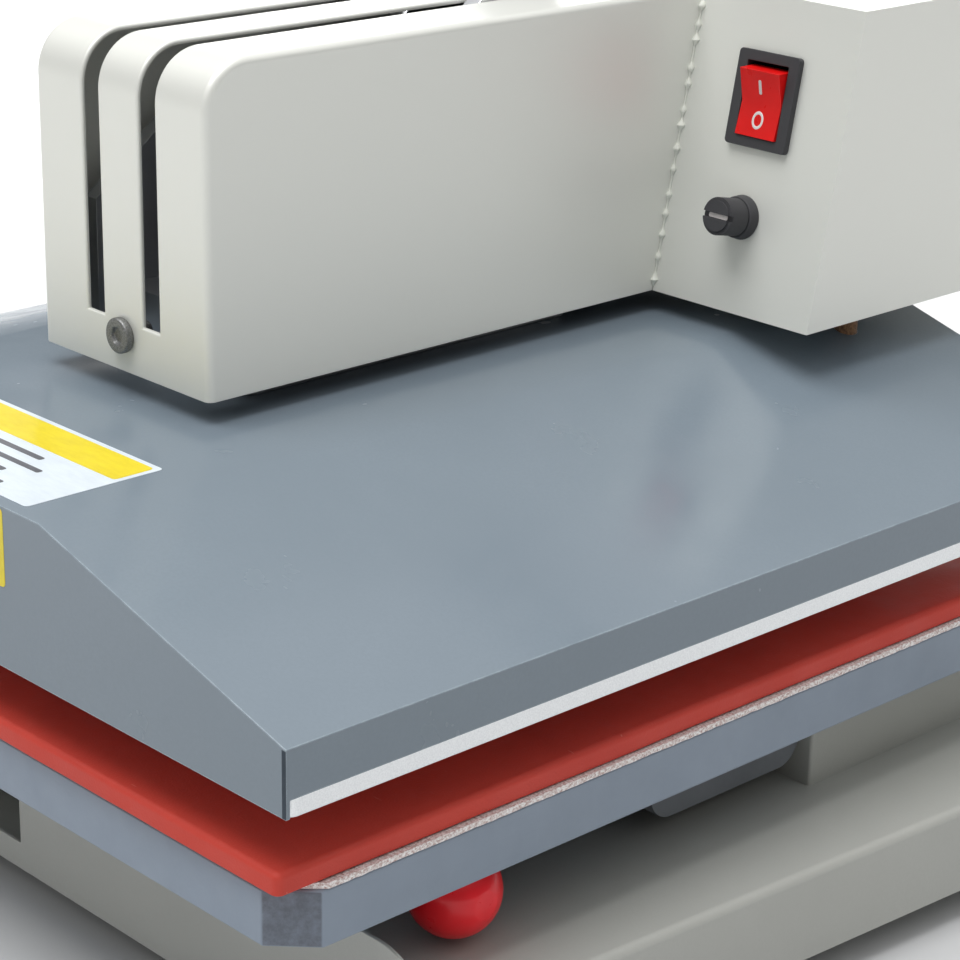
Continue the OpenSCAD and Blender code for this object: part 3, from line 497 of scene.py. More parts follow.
@dataclass(frozen=True)
class Fibre(Finish):
    """Fibre goods: backing cloth, mineral wool or braided sleeving, by their spacing and colours."""

    colour: Colour = (0.7, 0.7, 0.6, 1.0)
    shade: Colour = (0.4, 0.4, 0.3, 1.0)
    spacing_mm: float = 1.2
    depth: float = 0.3
    flow: Point = (1.0, 1.0, 1.0)
    dots: float = 0.0

    def lay(self, desk: Desk) -> None:
        """Lay out the fibre's nodes."""
        strand = desk.noise(self.spacing_mm, 4, 0.7, desk.stretch(self.flow))
        knot = desk.cells(self.spacing_mm * 1.6)
        woven = desk.ramp(strand, (0.32, self.shade), (0.6, self.colour))
        dotted = desk.blend(desk.span(knot, 0.12, 0.3, self.dots, 0.0), woven, self.shade)
        desk.base(dotted)
        desk.gloss(desk.span(strand, 0.3, 0.7, 0.7, 0.9))
        desk.fixed(Sheen_Weight=0.3)
        desk.relief((strand, self.depth), (knot, self.depth * 0.6))


@dataclass(frozen=True)
class Circuit(Finish):
    """Green circuit board with copper runs under its lacquer."""

    colour: Colour = (0.02, 0.12, 0.05, 1.0)
    trace: Colour = (0.06, 0.25, 0.1, 1.0)

    def lay(self, desk: Desk) -> None:
        """Lay out the board's nodes."""
        brick = desk.tree.nodes.new("ShaderNodeTexBrick")
        brick.inputs["Scale"].default_value = 90
        brick.inputs["Mortar Size"].default_value = 0.09
        desk.wire(desk.place, brick.inputs["Vector"])
        desk.base(desk.blend(brick.outputs["Fac"], self.colour, self.trace))
        desk.gloss(desk.span(desk.noise(6), 0.3, 0.7, 0.25, 0.4))
        desk.relief((brick.outputs["Fac"], 0.05))


@dataclass(frozen=True)
class Print(Finish):
    """Printed vinyl label, slightly wrinkled and scuffed."""

    colour: Colour = (0.8, 0.8, 0.8, 1.0)
    shade: Colour = (0.7, 0.7, 0.7, 1.0)

    def lay(self, desk: Desk) -> None:
        """Lay out the label's nodes."""
        scuff = desk.noise(4, 4, 0.7, desk.stretch((0.4, 1.5, 1.0), (0.0, 0.0, 0.4)))
        desk.base(desk.ramp(scuff, (0.35, self.colour), (0.8, self.shade)))
        desk.gloss(desk.span(desk.noise(9, 3), 0.3, 0.7, 0.28, 0.45))
        desk.relief((desk.noise(12, 2), 0.12), (scuff, 0.02))


CREAM = Paint("cream_paint", tone(203, 204, 192), tone(197, 198, 186), tone(226, 227, 219),
              0.40, 1.5, 0.02, 0.5)
SEALANT = Paint("white_sealant", tone(228, 230, 222), tone(216, 218, 208), tone(236, 237, 232),
                0.45, 2.0, 0.05, 0.2)
# The base's paint is greyer and darker than the arm's cream: partly painted shade, for the base stands in shade
# under the plates.
SHADED_BASE_CREAM = Paint("base_paint_with_shade", tone(182, 183, 177), tone(175, 176, 170), tone(210, 211, 205),
                   0.42, 1.5, 0.02, 0.5)
# The hood enamel's edges are much lighter, at full strength: a painted highlight along the hood's folds.
ENAMEL = Paint("grey_hood_enamel", tone(120, 132, 142), tone(115, 127, 137), tone(186, 200, 208), 0.21, 4.0, 0.004,
               1.0, 0.05)
# Its last colour is painted shade on the faces across the plate's corners.
SLATE = Plate("slate_plate_coat", tone(137, 149, 164), tone(127, 139, 153), tone(182, 190, 198), 0.42,
              tone(93, 99, 110))
DARK_BEAM = Plate("beam_coat", tone(118, 122, 127), tone(98, 102, 107), tone(140, 143, 146), 0.5)
ALUMINIUM = Metal("milled_aluminium", tone(240, 242, 243), tone(220, 222, 224), 0.4, (0.04, 1.0, 1.0), 0.02, 0.62)
BRIGHT = Metal("bright_steel", tone(205, 207, 210), tone(130, 132, 134), 0.26, (1.0, 1.0, 0.05), 0.01)
DULL = Metal("dull_steel", tone(128, 131, 135), tone(72, 72, 74), 0.42, (1.0, 0.08, 1.0), 0.03, 0.45)
SCREW_GREY = Metal("screw_grey_steel", tone(160, 161, 160), tone(104, 105, 105), 0.5, (1.0, 1.0, 1.0), 0.02, 0.4)
BRONZE = Metal("oiled_bronze", tone(196, 150, 84), tone(120, 84, 44), 0.34, (1.0, 1.0, 0.1), 0.02)
SPONGE = Sponge("red_sponge", tone(204, 68, 54), tone(192, 62, 50), tone(222, 150, 136))
RED = Moulded("red_gloss_plastic", tone(246, 30, 42), tone(232, 22, 34), 0.3, 0.5, 0.003, 0.25, 0.008)
ROCKER_RED = Moulded("rocker_red_plastic", tone(226, 22, 20), tone(208, 12, 14), 0.3, 0.4, 0.01, 0.1)
BLACK = Moulded("black_plastic", tone(13, 14, 15), tone(8, 9, 10), 0.34, 0.35, 0.03)
# Dark strips on the hood's corner joints: painted shade.
SEAM_SHADOW = Moulded("seam_shadow", tone(58, 68, 78), tone(50, 59, 68), 0.7, 0.5, 0.02)
MARK = Moulded("pale_marking", tone(226, 220, 218), tone(208, 202, 200), 0.5, 0.4, 0.01)
SEGMENT = Moulded("display_segment", tone(120, 16, 14), tone(90, 10, 10), 0.3, 0.4, 0.01)
RUBBER = Moulded("black_rubber", tone(34, 34, 35), tone(24, 24, 24), 0.72, 0.9, 0.06)
PALE = Moulded("cream_plastic", tone(222, 220, 206), tone(212, 210, 194), 0.4, 0.4, 0.02)
GLASS = Moulded("dark_window", tone(14, 16, 18), tone(8, 9, 11), 0.12, 3.0, 0.004, 0.8)
BACKING = Fibre("backing_cloth", tone(250, 248, 246), tone(178, 138, 130), 1.0, 0.25, (1.0, 1.0, 1.4), 0.7)
WOOL = Fibre("mineral_wool", tone(206, 196, 160), tone(150, 136, 96), 2.4, 0.9, (0.25, 1.0, 1.0), 0.3)
BRAID = Fibre("glass_sleeving", tone(150, 112, 78), tone(84, 58, 38), 0.9, 0.25, (1.0, 1.0, 0.6), 0.5)
BOARD = Circuit("circuit_board")
WHITE_PRINT = Print("white_print", tone(212, 221, 228), tone(200, 209, 216))
YELLOW_PRINT = Print("yellow_print", tone(226, 206, 30), tone(212, 190, 20))
GREY_PRINT = Print("grey_print", tone(96, 98, 104), tone(80, 82, 88))


# ---- Workshop ------------------------------------------------------------


def only(*pieces: bpy.types.Object) -> None:
    """Select just these pieces, the first of them active."""
    bpy.ops.object.select_all(action="DESELECT")
    for piece in pieces:
        piece.select_set(True)
    bpy.context.view_layer.objects.active = pieces[0]


@contextmanager
def editing(piece: bpy.types.Object) -> Iterator[None]:
    """Open one piece in edit mode with nothing else selected."""
    only(piece)
    bpy.ops.object.mode_set(mode="EDIT")
    try:
        yield
    finally:
        bpy.ops.object.mode_set(mode="OBJECT")


def pick_edges(piece: bpy.types.Object, wanted: EdgeTest) -> int:
    """Select, in edit mode, the edges that pass a test of their middle, direction and fold.

    Args:
        piece: The piece being edited.
        wanted: Test of an edge's middle in metres, its direction, and its fold in degrees, outward above 0.

    Returns:
        The number of edges selected.
    """
    bpy.context.tool_settings.mesh_select_mode = (False, True, False)
    mesh = bmesh.from_edit_mesh(piece.data)
    for part in (*mesh.verts, *mesh.edges, *mesh.faces):
        part.select = False
    count = 0
    for edge in mesh.edges:
        first, second = (vert.co for vert in edge.verts)
        fold = math.degrees(edge.calc_face_angle_signed(0.0)) if len(edge.link_faces) == 2 else 0.0
        if (second - first).length > 0 and wanted((first + second) / 2, (second - first).normalized(), fold):
            edge.select_set(True)
            count += 1
    bmesh.update_edit_mesh(piece.data)
    return count


def modify(piece: bpy.types.Object, kind: str, **values: object) -> None:
    """Add a modifier to a piece and apply it.

    Args:
        piece: The piece.
        kind: Kind of modifier.
        values: Settings of the modifier.
    """
    only(piece)
    bpy.ops.object.modifier_add(type=kind)
    modifier = piece.modifiers[-1]
    for name, value in values.items():
        setattr(modifier, name, value)
    bpy.ops.object.modifier_apply(modifier=modifier.name)


def smooth(piece: bpy.types.Object, degrees: float = 40.0) -> None:
    """Shade a piece smooth but for its sharp edges, with flat faces kept flat."""
    only(piece)
    bpy.ops.object.shade_smooth_by_angle(angle=math.radians(degrees))
    modify(piece, "WEIGHTED_NORMAL", keep_sharp=True)


def settle(piece: bpy.types.Object, name: str, finish: Finish, body: Body | str) -> bpy.types.Object:
    """Apply a piece's place, then name it, paint it and fix it to its body.

    Args:
        piece: The piece.
        name: Its name.
        finish: Its finish.
        body: Body that it rides on.

    Returns:
        The piece.
    """
    only(piece)
    bpy.ops.object.transform_apply(location=True, rotation=True, scale=True)
    piece.name = piece.data.name = name
    piece.data.materials.clear()
    piece.data.materials.append(finish.build())
    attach(piece, body.value if isinstance(body, Body) else body)
    LOG.info("%s: %d faces", name, len(piece.data.polygons))
    return piece


def slab(low: Point, high: Point) -> bpy.types.Object:
    """Add a box between two corners given in millimetres.

    Args:
        low: Lowest corner.
        high: Highest corner.

    Returns:
        The box, its size applied.
    """
    middle = [(a + b) / 2 * MM for a, b in zip(low, high)]
    bpy.ops.mesh.primitive_cube_add(size=1, location=middle)
    piece = bpy.context.object
    piece.scale = [(b - a) * MM for a, b in zip(low, high)]
    bpy.ops.object.transform_apply(location=True, rotation=True, scale=True)
    return piece


def round_corners(piece: bpy.types.Object, axis: int, radius_mm: float, sides: int = 4) -> None:
    """Round or cut the corners of a thin piece, seen along its thickness.

    Args:
        piece: The piece.
        axis: Number of the axis that its thickness runs along.
        radius_mm: Radius of the corners.
        sides: Faces round each corner, 1 for a plain cut.
    """
    with editing(piece):
        pick_edges(piece, lambda middle, way, fold: abs(way[axis]) > ALONG)
        bpy.ops.mesh.bevel(offset=radius_mm * MM, segments=sides, affect="EDGES")


def join(*pieces: bpy.types.Object) -> bpy.types.Object:
    """Join pieces into the first of them.

    Args:
        pieces: The pieces.

    Returns:
        The joined piece.
    """
    only(*pieces)
    bpy.ops.object.join()
    return bpy.context.object


RECORD = frame["record"]
NODE_BODY = {node: body for body, nodes in RECORD["behaviour"]["bodies"].items() for node in nodes}


def merged_copy(node: str) -> bpy.types.Object:
    """Copy a CAD node, merge its loose triangles and turn them back into whole faces.

    Args:
        node: Name of the node.

    Returns:
        The copy.
    """
    piece = bpy.data.objects.new(f"{node}_work", frame["nodes"][node].data.copy())
    bpy.context.scene.collection.objects.link(piece)
    only(piece)
    if piece.data.has_custom_normals:
        bpy.ops.mesh.customdata_custom_splitnormals_clear()
    with editing(piece):
        bpy.ops.mesh.select_all(action="SELECT")
        bpy.ops.mesh.remove_doubles(threshold=0.002 * MM)
        bpy.ops.mesh.dissolve_limited(angle_limit=math.radians(0.4))
    return piece


def round_edges(piece: bpy.types.Object, width_mm: float, steps: int = 2, sharpest: float = 32.0) -> None:
    """Round the sharp edges of a piece.

    Args:
        piece: The piece.
        width_mm: Width of the rounding.
        steps: Number of faces across it.
        sharpest: Edges that fold by more degrees than this are rounded.
    """
    modify(piece, "BEVEL", width=width_mm * MM, segments=steps, limit_method="ANGLE",
           angle_limit=math.radians(sharpest), use_clamp_overlap=True, miter_outer="MITER_ARC")


@dataclass(frozen=True)
class Look:
    """How one CAD node is finished: its material, its rounded edges and its wider folds.

    An edge of 0 keeps the CAD node itself and only gives it a material. Each fold is a radius in millimetres and
    the test that picks its edges. Folds are rounded before the other edges, in their order.
    """

    node: str
    finish: Finish
    edge_mm: float = 0.3
    steps: int = 2
    folds: tuple[tuple[float, EdgeTest], ...] = ()
    fold_steps: int = 5

    def make(self) -> bpy.types.Object:
        """Make the finished piece in place of the node, or dress the node.

        Returns:
            The piece that shows.
        """
        if self.edge_mm == 0:
            node = frame["nodes"][self.node]
            node.data.materials.clear()
            node.data.materials.append(self.finish.build())
            return node
        piece = merged_copy(self.node)
        for radius, wanted in self.folds:
            with editing(piece):
                if pick_edges(piece, wanted):
                    bpy.ops.mesh.bevel(offset=radius * MM, segments=self.fold_steps, affect="EDGES",
                                       clamp_overlap=True)
        round_edges(piece, self.edge_mm, self.steps)
        smooth(piece)
        settle(piece, f"{self.node}_finished", self.finish, NODE_BODY[self.node])
        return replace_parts(piece, self.node)


@dataclass
class SubAssembly:
    """A group of pieces that are built together. Its sizes are in millimetres and its angles in degrees."""

    looks: tuple[Look, ...] = ()
    pieces: dict[str, bpy.types.Object] = field(default_factory=dict)

    def build(self) -> None:
        """Finish the group's CAD nodes, then add its own pieces."""
        for look in self.looks:
            self.pieces[look.node] = look.make()
        self.add_details()

    def add_details(self) -> None:
        """Add pieces that the CAD model doesn't have."""


# ---- Base ----------------------------------------------------------------


TRAY_TOP = 43.9 * MM
TRAY_SIDE = 228.5 * MM
TRAY_RIM = 196 * MM
TRAY_BACK = 269 * MM
TRAY_REAR_PART = 200 * MM
RISER_TOP = 70.9 * MM
RISER_SIDE = 166.9 * MM


def is_tray_fold(middle: Vector, way: Vector, fold: float) -> bool:
    """Pick the tray's outer top folds, at its sides and back, and its upright folds at the rear."""
    top = middle.z > TRAY_TOP and abs(way.z) < ACROSS and (abs(middle.x) > TRAY_RIM or middle.y > TRAY_BACK)
    upright = abs(way.z) > ALONG and middle.y > TRAY_REAR_PART and abs(middle.x) > TRAY_SIDE
    return fold > BEND and (top or upright)


def is_riser_fold(middle: Vector, way: Vector, fold: float) -> bool:
    """Pick the riser box's outer top and upright folds."""
    return fold > BEND and (middle.z > RISER_TOP or (abs(way.z) > ALONG and abs(middle.x) > RISER_SIDE))


@dataclass
class Base(SubAssembly):
    """Tray, apron, riser, feet, pedestal and beam."""

    looks: tuple[Look, ...] = (
        Look("base_tray", SHADED_BASE_CREAM, 0.5, 2, ((3.0, is_tray_fold),)),
        Look("front_apron", SHADED_BASE_CREAM, 0.5),
        Look("column_riser", SHADED_BASE_CREAM, 0.5, 2, ((3.0, is_riser_fold),)),
        Look("rubber_feet", RUBBER, 0.6),
        Look("foot_screws", BRIGHT, 0.2, 1),
        Look("pedestal", DARK_BEAM, 1.0),
        Look("cross_beam", DARK_BEAM, 0.8),
        Look("column_flange", DULL, 0.6),
        Look("flange_bolts", BRIGHT, 0.3),
        Look("column", BRIGHT, 0.4),
        Look("stop_collar", DULL, 0.5),
        Look("thrust_washer", BRONZE, 0.15, 1),
    )


# ---- Lower plate and its pad ---------------------------------------------


@dataclass
class LowerPlate(SubAssembly):
    """Lower plate with its backing cloth and silicone sponge pad."""

    looks: tuple[Look, ...] = (Look("lower_plate", SLATE, 1.1, 3),)
    pad_corner: float = 3.0
    pad_rim: float = 2.4
    pad_foot: float = 0.8
    pad_wave: float = 0.5
    pad_wave_size: float = 46.0
    pad_square: float = 6.0
    pad_steps: int = 4
    cloth_fray: float = 0.5
    cloth_fray_size: float = 2.2
    cloth_square: float = 2.4
    cloth_corner: float = 12.0
    smooth_angle: float = 50.0

    def add_details(self) -> None:
        """Add the backing cloth and the pad."""
        self.add_cloth()
        self.add_pad()

    def add_cloth(self) -> None:
        """Lay the frayed backing cloth between plate and pad."""
        low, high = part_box("pad_backing")
        piece = self.rounded_sheet(low / MM, high / MM, self.cloth_corner, self.cloth_square, 1)
        modify(piece, "DISPLACE", texture=self.clouds("fray", self.cloth_fray_size), strength=self.cloth_fray * MM,
               mid_level=1.0, texture_coords="LOCAL")
        smooth(piece, self.smooth_angle)
        settle(piece, "backing_cloth", BACKING, Body.BASE)
        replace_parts(piece, "pad_backing")

    def add_pad(self) -> None:
        """Lay the sponge pad, its rim rounded and its faces a little uneven."""
        low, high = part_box("silicone_pad")
        piece = self.rounded_sheet(low / MM, high / MM, self.pad_corner, self.pad_square)
        with editing(piece):
            for radius, level in ((self.pad_rim, high.z), (self.pad_foot, low.z)):
                pick_edges(piece, lambda middle, way, fold: fold > BEND and abs(middle.z - level) < 0.01 * MM)
                bpy.ops.mesh.bevel(offset=radius * MM, segments=self.pad_steps, affect="EDGES", clamp_overlap=True)
        modify(piece, "DISPLACE", texture=self.clouds("sag", self.pad_wave_size), strength=self.pad_wave * MM,
               mid_level=1.0, texture_coords="LOCAL")
        smooth(piece, self.smooth_angle)
        settle(piece, "sponge_pad", SPONGE, Body.BASE)
        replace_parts(piece, "silicone_pad")

    @staticmethod
    def clouds(name: str, size_mm: float) -> bpy.types.Texture:
        """Make a cloud texture for a displacement.

        Args:
            name: Name of the texture.
            size_mm: Size of a cloud.

        Returns:
            The texture.
        """
        texture = bpy.data.textures.new(name, "CLOUDS")
        texture.noise_scale = size_mm * MM
        texture.noise_depth = 2
        return texture

    @staticmethod
    def rounded_sheet(low: Vector, high: Vector, corner: float, step: float, sides: int = 8) -> bpy.types.Object:
        """Make a thick sheet with round or cut corners, cut into squares so that it can be waved.

        Args:
            low: Lowest corner in millimetres.
            high: Highest corner in millimetres.
            corner: Corner radius in millimetres.
            step: Size of the squares in millimetres, or a little more where they don't fit evenly.
            sides: Faces round each corner, 1 for a plain cut.

        Returns:
            The sheet.
        """
        piece = slab(tuple(low), tuple(high))
        round_corners(piece, 2, corner, sides)
        with editing(piece):
            for axis in (0, 1):
                count = int((high[axis] - low[axis]) / step)
                for cut in range(1, count):
                    place = [0.0, 0.0, 0.0]
                    normal = [0.0, 0.0, 0.0]
                    normal[axis] = 1.0
                    place[axis] = (low[axis] + (high[axis] - low[axis]) * cut / count) * MM
                    bpy.ops.mesh.select_all(action="SELECT")
                    bpy.ops.mesh.bisect(plane_co=place, plane_no=normal)
        return piece


# ---- Plate latch ---------------------------------------------------------


@dataclass
class Coil:
    """A round wire coil wound up from its foot along an axis, in millimetres, its wire's two ends closed."""

    name: str
    foot: Point
    length: float
    outer: float
    wire: float
    turns: int
    axis: Axis = Axis.Z
    wire_sides: int = 10
    turn_steps: int = 28

    def make(self, body: Body) -> bpy.types.Object:
        """Wind the coil.

        Args:
            body: Body that it rides on.

        Returns:
            The coil.
        """
        bpy.ops.mesh.primitive_circle_add(vertices=self.wire_sides, radius=self.wire / 2 * MM, fill_type="NOTHING",
                                          location=((self.outer - self.wire) / 2 * MM, 0, self.wire / 2 * MM),
                                          rotation=(math.pi / 2, 0, 0))
        piece = bpy.context.object
        bpy.ops.object.transform_apply(location=True, rotation=True, scale=True)
        modify(piece, "SCREW", angle=2 * math.pi, screw_offset=(self.length - self.wire) / self.turns * MM,
               iterations=self.turns, steps=self.turn_steps, render_steps=self.turn_steps,
               use_smooth_shade=True)
        with editing(piece):
            bpy.ops.mesh.select_all(action="SELECT")
            bpy.ops.mesh.remove_doubles(threshold=0.001 * MM)
            bpy.ops.mesh.select_all(action="DESELECT")
            bpy.ops.mesh.select_mode(type="EDGE")
            bpy.ops.mesh.select_non_manifold()
            bpy.ops.mesh.edge_face_add()
            bpy.ops.mesh.select_all(action="SELECT")
            bpy.ops.mesh.normals_make_consistent(inside=False)
        piece.rotation_euler = self.axis.value
        piece.location = [part * MM for part in self.foot]
        return settle(piece, self.name, BRIGHT, body)


@dataclass
class Latch(SubAssembly):
    """Spring latch under the lower plate, with its red knob."""

    looks: tuple[Look, ...] = (
        Look("latch_tab", DARK_BEAM, 0.5),
        Look("latch_block", DULL, 0.6),
        Look("latch_pin", BRIGHT, 0.3),
        Look("red_pull_knob", RED, 0.6, 3),
    )
    spring_from: float = 101.6
    spring_to: float = 117.8
    spring_outer: float = 12.6
    spring_wire: float = 1.4
    spring_turns: int = 5

    def add_details(self) -> None:
        """Wind the latch's spring."""
        low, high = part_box("latch_spring")
        centre = (low + high) / 2 / MM
        coil = Coil("latch_coil", (self.spring_from, centre.y, centre.z), self.spring_to - self.spring_from,
                    self.spring_outer, self.spring_wire, self.spring_turns, Axis.X).make(Body.BASE)
        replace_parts(coil, "latch_spring")
        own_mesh(coil)


# ---- Swinging arm --------------------------------------------------------


COVER_FOOT = 185.5 * MM
ARM_SIDE = 44.9 * MM
ARM_REAR = 63.5 * MM
SLOT_INNER, SLOT_OUTER = 10.3, 19.7
CURVE_Y, CURVE_Z = -163.4, 276.7
CURVE_REACH = 16.5
FRONT_FROM, TOP_FROM = -180.3, 293.0
SLACK = 0.1


def is_arm_fold(middle: Vector, way: Vector, fold: float) -> bool:
    """Pick the arm cover's long outer folds, along its front, its top and the curve between them."""
    outer = abs(middle.x) > ARM_SIDE and middle.z > COVER_FOOT and middle.y < ARM_REAR
    return fold > BEND and outer and abs(way.x) < ACROSS


def is_slot_lip(middle: Vector, way: Vector, fold: float) -> bool:
    """Pick the outer edges of the two handle slots, which are rolled over."""
    x, y, z = (part / MM for part in middle)
    if fold < BEND or not SLOT_INNER < abs(x) < SLOT_OUTER:
        return False
    if y > CURVE_Y + SLACK:
        return z > TOP_FROM and abs(way.z) < 0.5
    if z < CURVE_Z + SLACK:
        return y < FRONT_FROM
    return math.hypot(y - CURVE_Y, z - CURVE_Z) > CURVE_REACH


@dataclass
class Arm(SubAssembly):
    """Arm cover with its two slots, and the works inside."""

    looks: tuple[Look, ...] = (
        Look("arm_cover", CREAM, 0.5, 2, ((2.6, is_arm_fold), (0.95, is_slot_lip))),
        Look("arm_front_screw", SCREW_GREY, 0.8, 3),
        Look("arm_side_plates", DULL, 0.4),
        Look("guide_block", DULL, 0.5),
        Look("bronze_bushes", BRONZE, 0.2, 1),
        Look("bearing_block", DULL, 0.8),
        Look("bearing_cap", DULL, 0.5),
        Look("stop_pin", BRIGHT, 0.3, 1),
        Look("ram", BRIGHT, 0.4),
        Look("cam_roller", BRIGHT, 0.3),
        Look("guide_rods", BRIGHT, 0.4),
        Look("carrier_plate", DULL, 0.5),
        Look("press_cam", DULL, 0.3),
        Look("handle_shaft", BRIGHT, 0.4),
    )
    spring_y: tuple[float, float] = (-134.0, -22.0)
    spring_low: float = 204.0
    spring_high: float = 255.8
    spring_outer: float = 17.0
    spring_wire: float = 2.0
    spring_turns: int = 8

    def add_details(self) -> None:
        """Wind the two return springs."""
        coils = [Coil(f"return_coil_{side}", (0.0, y, self.spring_low), self.spring_high - self.spring_low,
                      self.spring_outer, self.spring_wire, self.spring_turns).make(Body.ARM)
                 for side, y in zip(("front", "rear"), self.spring_y)]
        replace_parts(coils[0], "return_springs")
        for coil in coils:
            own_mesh(coil)


# ---- Rear housing --------------------------------------------------------


HOUSING_SIDE = 118.3 * MM
HOUSING_TOP = 294.7 * MM
HOUSING_BACK = 261 * MM
MIDDLE_HALF = 60 * MM
MIDDLE_FRONT = 40 * MM


def is_housing_fold(middle: Vector, way: Vector, fold: float) -> bool:
    """Pick the housing's outer folds round its panel, its sides and its top, but for the middle of the top."""
    outer = abs(middle.x) > HOUSING_SIDE or middle.z > HOUSING_TOP
    in_middle = abs(middle.x) < MIDDLE_HALF and middle.y > MIDDLE_FRONT
    return fold > BEND and outer and not in_middle and middle.z > COVER_FOOT and middle.y < HOUSING_BACK


@dataclass
class Housing(SubAssembly):
    """Rear housing with its switch panel, back, screws and what it holds."""

    looks: tuple[Look, ...] = (
        Look("rear_housing", CREAM, 0.5, 2, ((2.4, is_housing_fold),)),
        Look("housing_floor", CREAM, 0.4),
        Look("housing_back", CREAM, 0.4),
        Look("cover_screws", BRIGHT, 0.2, 1),
        Look("control_board", BOARD, 0),
        Look("mains_inlet", BLACK, 0.4),
        Look("lead_grommet", RUBBER, 0.4),
    )
    seam_x: float = 45.3
    seam_low: float = 186.5
    seam_high: float = 292.5
    panel_foot_y: float = 23.0
    panel_lean: float = 11.0
    bead_rings: int = 120
    bead_thin: float = 0.35
    bead_thick: float = 1.9
    bead_drops: int = 14
    bead_sides: int = 12
    bead_seed: int = 17
    drop_reach: float = 0.011
    drop_place: tuple[float, float] = (0.25, 0.75)
    drop_height: tuple[float, float] = (0.55, 1.0)

    def add_details(self) -> None:
        """Run the beads of sealant where the panel meets the arm cover."""
        for side in (-1, 1):
            self.add_bead(side)

    def add_bead(self, side: int) -> None:
        """Run one uneven bead up the seam.

        Args:
            side: -1 for the left side of the arm, 1 for its right.
        """
        chance = random.Random(self.bead_seed + side)
        lumps = [((drop + chance.uniform(*self.drop_place)) / self.bead_drops,
                  chance.uniform(*self.drop_height)) for drop in range(self.bead_drops)]
        lean = math.tan(math.radians(self.panel_lean))
        bpy.ops.mesh.primitive_circle_add(vertices=self.bead_sides, radius=self.bead_thin * MM, fill_type="NGON",
                                          location=(side * self.seam_x * MM, self.panel_foot_y * MM,
                                                    self.seam_low * MM))
        piece = bpy.context.object
        bpy.ops.object.transform_apply(location=True, rotation=True, scale=True)
        rise = (self.seam_high - self.seam_low) / self.bead_rings
        size = self.bead_thin
        swell = self.bead_thick - self.bead_thin
        with editing(piece):
            bpy.ops.mesh.select_all(action="SELECT")
            for ring in range(1, self.bead_rings + 1):
                share = ring / self.bead_rings
                wanted = self.bead_thin + sum(
                    swell * fullness * math.exp(-((share - place) / self.drop_reach) ** 2)
                    for place, fullness in lumps)
                bpy.ops.mesh.extrude_region_move(
                    TRANSFORM_OT_translate={"value": (0, rise * lean * MM, rise * MM)})
                height = self.seam_low + rise * ring
                bpy.ops.transform.resize(value=(wanted / size,) * 3, center_override=(
                    side * self.seam_x * MM, (self.panel_foot_y + rise * ring * lean) * MM, height * MM))
                size = wanted
            bpy.ops.mesh.select_all(action="SELECT")
            bpy.ops.mesh.normals_make_consistent(inside=False)
        smooth(piece, 60)
        settle(piece, f"sealant_bead_{'left' if side < 0 else 'right'}", SEALANT, Body.ARM)


# ---- Controls ------------------------------------------------------------


